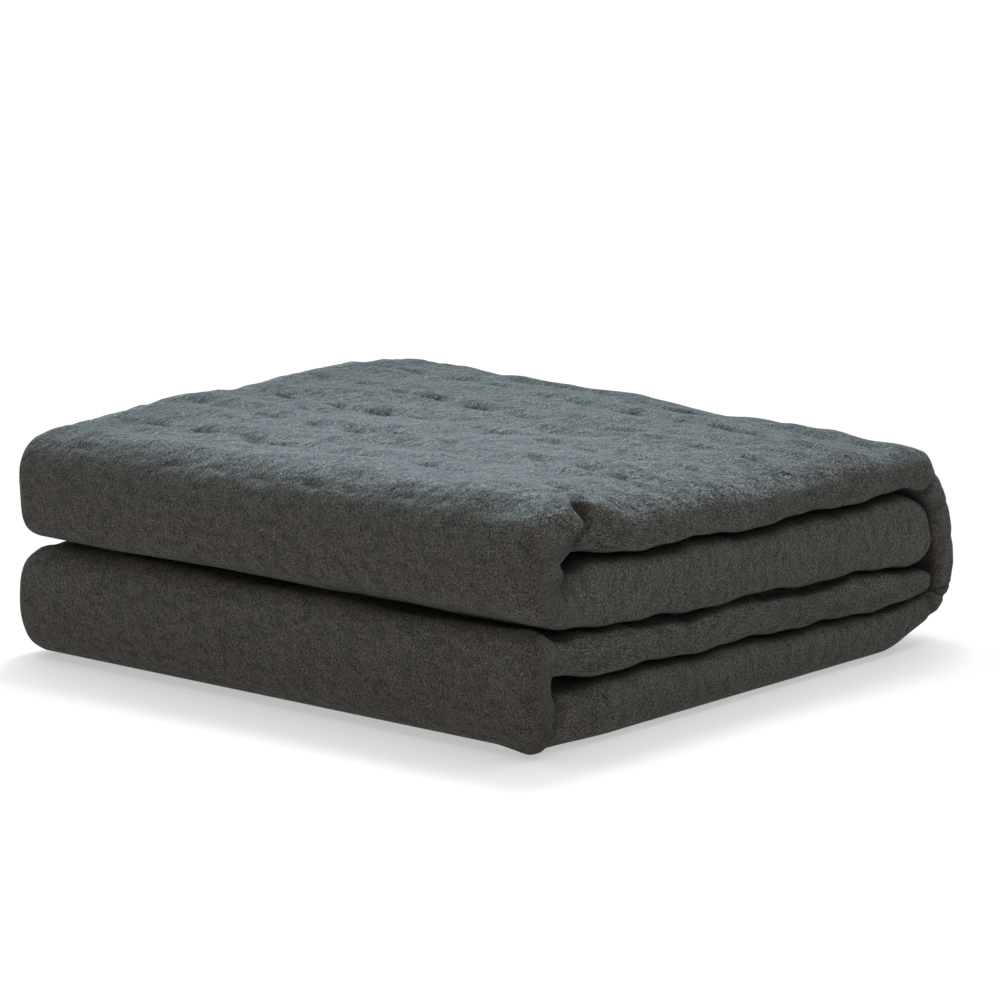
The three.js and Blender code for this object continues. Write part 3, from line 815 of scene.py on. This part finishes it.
# Lumps: their height at the sides and on the top, and their size
Lumps = namedtuple("Lumps", "side top size seed")
LUMPS = [Lumps(0.0011, 0.0020, 0.065, 3), Lumps(0.0004, 0.0009, 0.024, 4)]
LUMP_UP = (0.35, 0.85)

# Small folds across the right shoulder of the top layer: their height and sizes, where they start
# along X and up, and the span back from the front outside which the least share is left
SHOULDER_FOLD = 0.0014
SHOULDER_SIZES = (0.045, 0.0105, 0.05)
SHOULDER_X = (0.165, 0.200)
SHOULDER_Z = (0.122, 0.140)
SHOULDER_STARTS = (0.035, 0.070)
SHOULDER_ENDS = (0.170, 0.230)
SHOULDER_LEAST = 0.25
# The pit at the top of the upper crease
PIT = (0.2205, 0.0500, 0.1495)
PIT_SIZE = 0.0050
PIT_DEPTH = 0.0075

# Painted shade, a darker colour where shade falls: from how deep in a dent, how far behind a crease and
# between which heights at each one, and how near to the gaps between the layers, as a share of the way
# out
SHADED_DENT = 0.0006
CREASE_STARTS = (-0.0015, 0.0010)
CREASE_ENDS = (0.003, 0.014)
UPPER_CREASE_SPANS = (0.094, 0.104), (0.148, 0.156)
LOWER_CREASE_SPANS = (0.004, 0.012), (0.040, 0.052)
BETWEEN_LAYERS = (0.84, 0.98)
# And how dark that painted shade is in a dent and in a crease
DENT_PAINTED_SHADE = 0.7
CREASE_PAINTED_SHADE = 0.8
# How much of the relief is left at the inner end of the side fold, and below which heights the
# underside flattens
INNER_END_SHARE = 0.2
FLOOR_FADE = (0.001, 0.012)


class Relief:
    """How far each shown point stands out from the plain folded form, or in."""

    def __init__(self, cloth, normals):
        self.cloth = cloth
        self.up = normals[:, 2]
        outside = ["upper roll", "top layer", "wrap", "lower roll"]
        self.skin = (cloth.kind == SKIN) & np.isin(cloth.leg, outside)
        self.side = cloth.kind == SIDE
        self.share = self.shown_share()
        self.x = cloth.cloth_x
        self.path = cloth.path
        self.points = cloth.points
        # The same points with y from the front
        self.place = cloth.points + (0, cloth.shape.depth / 2, 0)
        self.quilted = np.where(self.skin, self.quilting(), 0)

    def shown_share(self):
        """1 where the cloth shows, fading out round its folds to where it doesn't."""
        columns = np.array(self.cloth.section.kind)
        share = np.isin(columns, [SKIN, SIDE]).astype(float)
        first_fold = np.flatnonzero(columns == FIRST_FOLD)
        share[first_fold] = np.linspace(0, 1, len(first_fold))
        side = np.flatnonzero(columns == SIDE)
        inner = side[len(side) // 2 :]
        share[inner] = np.linspace(1, INNER_END_SHARE, len(inner))
        return share[self.cloth.column] * np.where(self.skin | (self.cloth.kind != SKIN), 1, 0)

    def path_at(self, leg_name, q):
        """The place along the path, a fraction q of a leg."""
        rows = [k for k, s in enumerate(self.cloth.stations) if s.leg.name == leg_name]
        shares = [self.cloth.stations[k].q for k in rows]
        return np.interp(q, shares, self.cloth.station_path[rows])

    def rows(self):
        """Where the rows of dents lie along the path."""
        rows = [self.path_at("upper roll", FRONT_ROW_SHARE)]
        row = self.path_at("top layer", 0) + TOP_FIRST_ROW
        while row < self.path_at("wrap", LAST_ROW_SHARE):
            rows.append(row)
            row += ROW_PITCH
        return rows

    def quilting(self):
        """Short dents in rows, with a shallow trough along each row."""
        random = np.random.default_rng(DENT_SEED)
        shape = self.cloth.shape
        pitch = (shape.fold_x - shape.first_fold_x) / DENT_COLUMNS
        depth = np.zeros_like(self.x)
        for number, row in enumerate(self.rows()):
            dents = TOP_DENTS if number else FRONT_DENTS
            waver = ROW_WAVER * np.sin(self.x / ROW_WAVER_LENGTH + ROW_WAVER_SHIFT * number)
            depth += dents.trough * hollow(self.path - row - waver, ROW_TROUGH_WIDTH)
            for column in range(DENT_COLUMNS):
                x = shape.first_fold_x + (column + 0.5) * pitch + random.normal(0, DENT_STRAY_X)
                place = row + random.normal(0, DENT_STRAY_PATH)
                length = DENT_LENGTH * random.uniform(*DENT_LENGTHS)
                deep = dents.depth * random.uniform(*DENT_DEPTHS)
                slant = random.normal(0, DENT_SLANT)
                dx = self.x - x
                along = self.path - place - slant * dx
                ends = np.exp(-(np.abs(dx / length) ** 3))
                depth += deep * ends * hollow(along, dents.width)
                for side in (-1, 1):
                    lip = hollow(along - side * LIP_PLACE * dents.width, LIP_WIDTH * dents.width)
                    depth -= LIP_SHARE * deep * ends * lip
        return -depth

    def wrinkles(self):
        """Puckers that run along X, strongest on the top."""
        puckers = sum(p.height * noise_at((self.x, self.path, p.place), p.sizes, p.seed) for p in PUCKERS)
        return puckers * mix(PUCKER_LEAST, 1, smooth(*PUCKER_UP, self.up))

    def lumps(self):
        """Soft lumps all over, highest on the top."""
        on_top = smooth(*LUMP_UP, self.up)
        return sum(mix(k.side, k.top, on_top) * noise_at(self.points.T, k.size, k.seed) for k in LUMPS)

    def shoulder(self):
        """Small folds across the rounded right edge of the top layer."""
        x, back, z = self.place.T
        folds = noise_at((x, back, z), SHOULDER_SIZES, 5)
        zone = mix(SHOULDER_LEAST, 1, band(SHOULDER_STARTS, SHOULDER_ENDS, back))
        return SHOULDER_FOLD * folds * smooth(*SHOULDER_X, x) * smooth(*SHOULDER_Z, z) * zone

    def pit(self):
        """1 in the middle of the pit at the top of the upper crease, and 0 away from it."""
        return hollow(np.linalg.norm(self.place - PIT, axis=1), PIT_SIZE)

    def pressed(self):
        """Painted shade, from 0 to 1: in the dents, behind the creases, in the pit and near the gaps
        between the layers.
        """
        dents = smooth(SHADED_DENT, TOP_DENTS.depth, -self.quilted)
        x, back, z = self.place.T
        upper = z > self.cloth.shape.gap_z(2)
        line = band(CREASE_STARTS, CREASE_ENDS, back - crease_at(upper, z))
        line = line * np.where(upper, band(*UPPER_CREASE_SPANS, z), band(*LOWER_CREASE_SPANS, z))
        line = line * self.cloth.shape.right_share(x) * self.side
        out = self.cloth.section.v[self.cloth.column] / (self.cloth.shape.strip / 2)
        inside = (out < 0) | np.isin(self.cloth.leg, ["second layer", "third layer"])
        between = smooth(*BETWEEN_LAYERS, np.abs(out)) * inside * self.side
        shades = [DENT_PAINTED_SHADE * dents, CREASE_PAINTED_SHADE * line, self.pit(), between]
        return np.max(shades, axis=0) * (self.share > 0)

    def height(self):
        """How far each point stands out; the underside has none."""
        lumpy = self.wrinkles() + self.lumps() + self.shoulder() - PIT_DEPTH * self.pit()
        return (self.quilted + self.share * lumpy) * smooth(*FLOOR_FADE, self.points[:, 2])


class Amount:
    """A socket that carries a number. Arithmetic on it adds Math nodes."""

    def __init__(self, bench, socket):
        self.bench = bench
        self.socket = socket

    def maths(self, operation, *values):
        node = self.bench.node("Math", {"operation": operation}, dict(enumerate(values)))
        return Amount(self.bench, node.outputs[0])

    def __add__(self, other):
        return self.maths("ADD", self, other)

    def __sub__(self, other):
        return self.maths("SUBTRACT", self, other)

    def __rsub__(self, other):
        return self.maths("SUBTRACT", other, self)

    def __mul__(self, other):
        return self.maths("MULTIPLY", self, other)

    __radd__ = __add__
    __rmul__ = __mul__

    def most(self, other):
        return self.maths("MAXIMUM", self, other)

    def between(self, low, high):
        """0 up to low, 1 from high, and a soft step between."""
        settings = {"interpolation_type": "SMOOTHSTEP"}
        sockets = {"Value": self, "From Min": low, "From Max": high}
        return Amount(self.bench, self.bench.node("MapRange", settings, sockets).outputs[0])


class Bench:
    """Adds nodes to a material's tree."""

    def __init__(self, tree):
        self.tree = tree
        tree.nodes.clear()

    def node(self, kind, settings=None, sockets=None):
        node = self.tree.nodes.new("ShaderNode" + kind)
        for name, value in (settings or {}).items():
            setattr(node, name, value)
        for name, value in (sockets or {}).items():
            if isinstance(value, Amount):
                value = value.socket
            if isinstance(value, bpy.types.NodeSocket):
                self.tree.links.new(value, node.inputs[name])
            else:
                node.inputs[name].default_value = value
        return node

    def colour_mix(self, factor, first, second):
        """The first colour where factor is 0, and the second where it is 1."""
        sockets = {0: factor, 6: first, 7: second}
        return self.node("Mix", {"data_type": "RGBA"}, sockets).outputs[2]

    def noise(self, vector, scale, detail=0.0):
        """The outputs of a noise texture over the cloth."""
        sockets = {"Vector": vector, "Scale": scale, "Detail": detail}
        return self.node("TexNoise", {"noise_dimensions": "2D"}, sockets).outputs

    def mask(self, vector, scale, detail, low, high):
        """Noise made into a mask, 0 up to low and 1 from high."""
        return Amount(self, self.noise(vector, scale, detail)["Fac"]).between(low, high)

    def placed(self, vector, **sockets):
        """A vector seen from a pattern that is moved, turned or stretched."""
        return self.node("Mapping", {"vector_type": "TEXTURE"}, {"Vector": vector, **sockets}).outputs[0]


CLOTH_MAP = "cloth"
# The mesh attribute that holds the painted shade of the dents, creases, pit and gaps between the layers
PAINTED_SHADE = "pressed"
# Fibres of the nap: the angle on the cloth, and the length and width of a noise cell
LIGHT_FIBRES = [
    (0.15, 0.0018, 0.00050),
    (0.80, 0.0016, 0.00046),
    (1.45, 0.0018, 0.00050),
    (2.05, 0.0016, 0.00046),
    (2.70, 0.0018, 0.00050),
]
DARK_FIBRES = [(0.5, 0.0020, 0.0009), (1.6, 0.0018, 0.0009), (2.5, 0.0021, 0.0010)]
# How far each set of fibres is moved on from the last
FIBRE_SHIFT = (0.13, 0.07)
# How fine the curl of the fibres is, and how far it moves them
CURL_SCALE = 210
CURL_REACH = 0.0016
# Tufts of the nap, and smudges where it lies flatter: their size round the section and along
# the path
TUFT_SIZE = (0.0070, 0.0060, 1)
SMUDGE_SIZE = (0.012, 0.0060, 1)
# Masks of the fleece: the scale and detail of the noise, and where it starts and is full
Mask = namedtuple("Mask", "scale detail low high")
LIGHT_MASK = Mask(1, 1.0, 0.58, 0.76)
DARK_MASK = Mask(1, 1.0, 0.55, 0.72)
CLOUD_MASK = Mask(38, 3.0, 0.30, 0.70)
CLUMP_MASK = Mask(420, 2.0, 0.30, 0.70)
BLOTCH_MASK = Mask(62, 2.0, 0.38, 0.68)
SMUDGE_MASK = Mask(1, 2.0, 0.42, 0.72)
TUFT_DETAIL = 2.0
# Shares of the clouds and the clumps in the ground's mottle
CLOUD_SHARE = 0.45
CLUMP_SHARE = 0.55
# Shares of the fibres and the clumps in the height of the nap
LIGHT_NAP = 0.44
DARK_NAP = 0.26
CLUMP_NAP = 0.50


def fleece_material(finish):
    """Brushed heather fleece: light and dark fibres on a mottled ground, with a soft nap."""
    material = bpy.data.materials.new("brushed_fleece")
    material.use_nodes = True
    bench = Bench(material.node_tree)
    cloth = bench.node("UVMap", {"uv_map": CLOTH_MAP}).outputs["UV"]

    def vector_maths(operation, sockets):
        return bench.node("VectorMath", {"operation": operation}, sockets).outputs[0]

    centred = vector_maths("SUBTRACT", {0: bench.noise(cloth, CURL_SCALE)["Color"], 1: (0.5, 0.5, 0.5)})
    curl = vector_maths("SCALE", {0: centred, "Scale": CURL_REACH})
    curled = vector_maths("ADD", {0: cloth, 1: curl})

    def fibres(rows, mask):
        total = None
        for number, (angle, length, width) in enumerate(rows):
            location = (FIBRE_SHIFT[0] * number, FIBRE_SHIFT[1] * number, 0)
            sockets = {"Location": location, "Rotation": (0, 0, angle), "Scale": (length, width, 1)}
            fibre = bench.mask(bench.placed(curled, **sockets), *mask)
            total = fibre if total is None else total.most(fibre)
        return total

    light = fibres(LIGHT_FIBRES, LIGHT_MASK)
    dark = fibres(DARK_FIBRES, DARK_MASK)
    clumps = bench.mask(cloth, *CLUMP_MASK)
    mottle = bench.mask(cloth, *CLOUD_MASK) * CLOUD_SHARE + clumps * CLUMP_SHARE
    ground = bench.colour_mix(mottle, finish.ground_dark[:], finish.ground_light[:])
    blotches = bench.mask(cloth, *BLOTCH_MASK) * finish.blotch_share
    ground = bench.colour_mix(blotches, ground, finish.blotch[:])
    shaded = bench.colour_mix(dark * finish.dark_share, ground, finish.dark_fibre[:])
    fibred = bench.colour_mix(light * finish.light_share, shaded, finish.light_fibre[:])
    smudges = bench.mask(bench.placed(curled, Scale=SMUDGE_SIZE), *SMUDGE_MASK)
    # The smudges are the nap's own darker tone; the attribute adds painted shade in the dents, behind the
    # creases, in the pit and between the layers
    pressed = Amount(bench, bench.node("Attribute", {"attribute_name": PAINTED_SHADE}).outputs["Fac"])
    nap_smudges_and_painted_shade = (smudges * finish.smudge_share).most(pressed * finish.pressed_share)
    # Darkens towards the dark fibre colour by the smudges and by the painted shade
    colour = bench.colour_mix(nap_smudges_and_painted_shade, fibred, finish.dark_fibre[:])
    tufts = Amount(bench, bench.noise(bench.placed(curled, Scale=TUFT_SIZE), 1, TUFT_DETAIL)["Fac"])
    tuft_share = finish.tuft_height / finish.nap_height
    nap = light * LIGHT_NAP - dark * DARK_NAP + clumps * CLUMP_NAP + tufts * tuft_share
    sockets = {"Strength": finish.nap_strength, "Distance": finish.nap_height, "Height": nap}
    bump = bench.node("Bump", None, sockets)
    sockets = {
        "Base Color": colour,
        "Roughness": 0.95,
        "Specular IOR Level": 0.15,
        "Sheen Weight": finish.sheen,
        "Sheen Roughness": finish.sheen_roughness,
        "Sheen Tint": finish.sheen_tint[:],
        "Normal": bump.outputs[0],
    }
    surface = bench.node("BsdfPrincipled", None, sockets)
    bench.node("OutputMaterial", None, {"Surface": surface.outputs[0]})
    return material


def write_cloth_map(mesh, cloth):
    """A map of the cloth's own coordinates in metres: round its section, and along its path."""
    layer = mesh.uv_layers.new(name=CLOTH_MAP)
    corners = np.zeros(len(mesh.loops), int)
    mesh.loops.foreach_get("vertex_index", corners)
    round_section = cloth.section.along[cloth.column][corners]
    along_path = cloth.nap_path[corners]
    whole = cloth.section.along[-1]
    starts = np.zeros(len(mesh.polygons), int)
    mesh.polygons.foreach_get("loop_start", starts)
    widest = np.maximum.reduceat(round_section, starts)
    totals = np.zeros(len(mesh.polygons), int)
    mesh.polygons.foreach_get("loop_total", totals)
    limit = np.repeat(widest, totals) - whole / 2
    round_section = np.where(round_section < limit, round_section + whole, round_section)
    places = np.stack([round_section, along_path], axis=1)
    layer.uv.foreach_set("vector", places.astype(np.float32).ravel())


def colour_property(name, description, default):
    return bpy.props.FloatVectorProperty(
        name=name, description=description, subtype="COLOR", size=4, min=0, max=2, default=(*default, 1)
    )


def number_property(name, description, default, **limits):
    return bpy.props.FloatProperty(name=name, description=description, default=default, min=0, **limits)


length_property = partial(number_property, unit="LENGTH", precision=4)
share_property = partial(number_property, max=1, subtype="FACTOR")


class BlanketSizes(bpy.types.PropertyGroup):
    width: length_property("Width", "Along the front rolls", round(BLANKET_HIGH.x - BLANKET_LOW.x, 4))
    depth: length_property("Depth", "From front to back", round(BLANKET_HIGH.y - BLANKET_LOW.y, 4))
    height: length_property("Height", "At the front right corner", 0.160)
    ply: length_property("Cloth thickness", "One thickness of the quilted cloth", 0.0087)
    ply_gap: length_property("Cloth gap", "Between two thicknesses in the strip", 0.00095)
    grain: length_property("Grain", "How far apart the points of the outside are", 0.0032)


class BlanketFinish(bpy.types.PropertyGroup):
    ground_dark: colour_property("Dark ground", "The ground at its darkest", (0.0140, 0.0119, 0.0095))
    ground_light: colour_property("Light ground", "The ground at its lightest", (0.042, 0.0357, 0.0286))
    light_fibre: colour_property("Light fibres", "Pale fibres of the nap", (0.190, 0.165, 0.131))
    # The dark fibres' colour, which is also the colour the painted shade darkens towards
    dark_fibre: colour_property("Dark fibres", "Dark fibres of the nap", (0.008, 0.0075, 0.007))
    blotch: colour_property("Blotches", "Warmer blotches in the ground", (0.041, 0.030, 0.0208))
    blotch_share: share_property("Blotch share", "How strongly the blotches show", 0.55)
    smudge_share: share_property("Smudge share", "How dark the nap is where it lies flatter", 0.36)
    # Painted shade: how dark the colour is made in the creases, the dents, the pit and between the layers
    pressed_share: share_property("Pressed share", "How dark the nap is in creases and dents", 0.75)
    light_share: share_property("Light share", "How strongly the pale fibres show", 0.92)
    dark_share: share_property("Dark share", "How strongly the dark fibres show", 0.6)
    sheen: share_property("Sheen", "How much light the raised nap catches", 0.12)
    sheen_roughness: share_property("Sheen roughness", "How widely the nap scatters light", 0.45)
    sheen_tint: colour_property("Sheen tint", "The colour of light off the nap", (0.72, 0.90, 0.95))
    nap_height: length_property("Nap height", "How high the nap stands", 0.0009)
    tuft_height: length_property("Tuft height", "How high the tufts stand", 0.0045)
    nap_strength: share_property("Nap strength", "How clearly the nap shows", 1.0)


class StudioSettings(bpy.types.PropertyGroup):
    floor: colour_property("Floor", "The floor's colour", (0.345, 0.276, 0.24))
    floor_glow: colour_property("Floor glow", "Light from under the floor", (0.46, 0.47, 0.475))
    sky: colour_property("Surround", "The light from all round", (1.0, 0.94, 0.87))
    sky_strength: number_property("Surround strength", "How bright the surround is", 0.25)
    backlight: number_property("Back light", "Light from above and behind", 5.8)
    backlight_colour: colour_property("Back light colour", "The colour of that light", (0.84, 1.10, 1.34))
    fill: number_property("Fill light", "Light from beside the camera", 0.67)
    fill_colour: colour_property("Fill light colour", "The colour of that light", (1.0, 0.865, 0.70))
    overhead: number_property("Overhead light", "A soft spot over the front, in watts", 225.0)


class BLANKET_OT_fold_cloth(bpy.types.Operator):
    """Builds the folded blanket and its fleece"""

    bl_idname = "blanket.fold_cloth"
    bl_label = "Fold Cloth"

    def execute(self, context):
        sizes = context.scene.blanket_sizes
        shape = FoldedStrip(sizes)
        cloth = ClothMesh(shape, sizes.grain)
        plain = cloth.build("plain_form")
        normals = np.zeros(len(plain.vertices) * 3, np.float32)
        plain.vertex_normals.foreach_get("vector", normals)
        normals = normals.reshape(-1, 3)
        bpy.data.meshes.remove(plain)
        relief = Relief(cloth, normals)
        # Painted shade in the dents, behind the creases, in the pit and between the layers, kept as a
        # mesh attribute for the material
        pressed = relief.pressed().astype(np.float32)
        cloth.points = cloth.points + normals * relief.height()[:, None]
        mesh = cloth.build("blanket_cloth")
        mesh.attributes.new(PAINTED_SHADE, "FLOAT", "POINT").data.foreach_set("value", pressed)
        write_cloth_map(mesh, cloth)
        mesh.materials.append(fleece_material(context.scene.blanket_finish))
        blanket = bpy.data.objects.new("blanket_cloth", mesh)
        context.scene.collection.objects.link(blanket)
        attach(blanket, "root")
        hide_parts(BLANKET_NODE)
        return {"FINISHED"}


# The photograph's view
CAMERA_PLACE = Vector((1.709, -2.001, 0.6009))
CAMERA_AIM = Vector((-0.6358, 0.7488, -0.1870))
CAMERA_LENS = 144
CAMERA_SENSOR = 36
FLOOR_HALF = 15
# The two far lights: how far off they stand, which way they shine, and how soft they are
FAR_LIGHT_OFF = 2
BACKLIGHT_WAY = Vector((0.42, -0.56, -1.0))
BACKLIGHT_SOFTNESS = 1.5
FILL_WAY = Vector((-0.62, 0.74, -0.25))
FILL_SOFTNESS = 1.2
# The spot: its place, the point that it shines at, how far round that it reaches, and its size
OVERHEAD_PLACE = Vector((-0.33, 0.45, 1.25))
OVERHEAD_AIM = Vector((0.06, -0.13, 0.16))
OVERHEAD_REACH = 0.31
OVERHEAD_SIZE = 0.30


def place(context, data, location, way):
    """Puts a light or a camera in the scene, looking a given way."""
    placed = bpy.data.objects.new(data.name, data)
    placed.location = location
    placed.rotation_euler = way.to_track_quat("-Z", "Y").to_euler()
    context.scene.collection.objects.link(placed)
    return placed


class BLANKET_OT_set_studio(bpy.types.Operator):
    """Lays the floor and sets the lights and the camera"""

    bl_idname = "blanket.set_studio"
    bl_label = "Set Studio"

    def execute(self, context):
        settings = context.scene.blanket_studio
        self.lay_floor(context, settings)
        self.set_lights(context, settings)
        self.set_camera(context)
        context.scene.view_settings.view_transform = "Standard"
        return {"FINISHED"}

    def lay_floor(self, context, settings):
        mesh = bpy.data.meshes.new("studio_floor")
        half = FLOOR_HALF
        corners = [(-half, -half, 0), (half, -half, 0), (half, half, 0), (-half, half, 0)]
        mesh.from_pydata(corners, [], [(0, 1, 2, 3)])
        material = bpy.data.materials.new("studio_floor")
        material.use_nodes = True
        bench = Bench(material.node_tree)
        sockets = {
            "Base Color": settings.floor[:],
            "Roughness": 0.9,
            "Specular IOR Level": 0.1,
            "Emission Color": settings.floor_glow[:],
            "Emission Strength": 1.0,
        }
        surface = bench.node("BsdfPrincipled", None, sockets)
        bench.node("OutputMaterial", None, {"Surface": surface.outputs[0]})
        mesh.materials.append(material)
        floor = bpy.data.objects.new("studio_floor", mesh)
        context.scene.collection.objects.link(floor)

    def set_lights(self, context, settings):
        world = bpy.data.worlds.new("studio")
        world.use_nodes = True
        background = world.node_tree.nodes["Background"]
        background.inputs["Color"].default_value = settings.sky[:]
        background.inputs["Strength"].default_value = settings.sky_strength
        context.scene.world = world
        backlight = settings.backlight, settings.backlight_colour
        self.add_far_light(context, "back_light", BACKLIGHT_WAY, BACKLIGHT_SOFTNESS, *backlight)
        fill = settings.fill, settings.fill_colour
        self.add_far_light(context, "fill_light", FILL_WAY, FILL_SOFTNESS, *fill)
        way = OVERHEAD_AIM - OVERHEAD_PLACE
        spot = bpy.data.lights.new("overhead_light", "SPOT")
        spot.energy = settings.overhead
        spot.color = settings.backlight_colour[:3]
        spot.shadow_soft_size = OVERHEAD_SIZE
        spot.spot_size = 2 * math.atan(OVERHEAD_REACH / way.length)
        spot.spot_blend = 1
        place(context, spot, OVERHEAD_PLACE, way)

    def add_far_light(self, context, name, way, softness, energy, colour):
        light = bpy.data.lights.new(name, "SUN")
        light.energy = energy
        light.color = colour[:3]
        light.angle = softness
        place(context, light, -way * FAR_LIGHT_OFF, way)

    def set_camera(self, context):
        lens = bpy.data.cameras.new("camera")
        lens.lens = CAMERA_LENS
        lens.sensor_width = CAMERA_SENSOR
        context.scene.camera = place(context, lens, CAMERA_PLACE, CAMERA_AIM)


class BLANKET_PT_maker(bpy.types.Panel):
    """Sizes, finish and studio, and the steps that build them"""

    bl_idname = "BLANKET_PT_maker"
    bl_label = "Folded Blanket"
    bl_space_type = "VIEW_3D"
    bl_region_type = "UI"
    bl_category = "Blanket"

    def draw(self, context):
        for step, groups in STEPS:
            for group in groups:
                settings = getattr(context.scene, group)
                for name in settings.bl_rna.properties.keys():
                    if name not in ("rna_type", "name"):
                        self.layout.prop(settings, name)
            self.layout.operator(step.bl_idname)


STEPS = (
    (BLANKET_OT_fold_cloth, ("blanket_sizes", "blanket_finish")),
    (BLANKET_OT_set_studio, ("blanket_studio",)),
)
SETTINGS = {
    "blanket_sizes": BlanketSizes,
    "blanket_finish": BlanketFinish,
    "blanket_studio": StudioSettings,
}
CLASSES = (*SETTINGS.values(), BLANKET_OT_fold_cloth, BLANKET_OT_set_studio, BLANKET_PT_maker)


def register():
    for cls in CLASSES:
        bpy.utils.register_class(cls)
    for name, group in SETTINGS.items():
        setattr(bpy.types.Scene, name, bpy.props.PointerProperty(type=group))


def unregister():
    for name in SETTINGS:
        delattr(bpy.types.Scene, name)
    for cls in reversed(CLASSES):
        bpy.utils.unregister_class(cls)


def main():
    register()
    bpy.ops.blanket.fold_cloth()
    bpy.ops.blanket.set_studio()


if __name__ == "__main__":
    main()
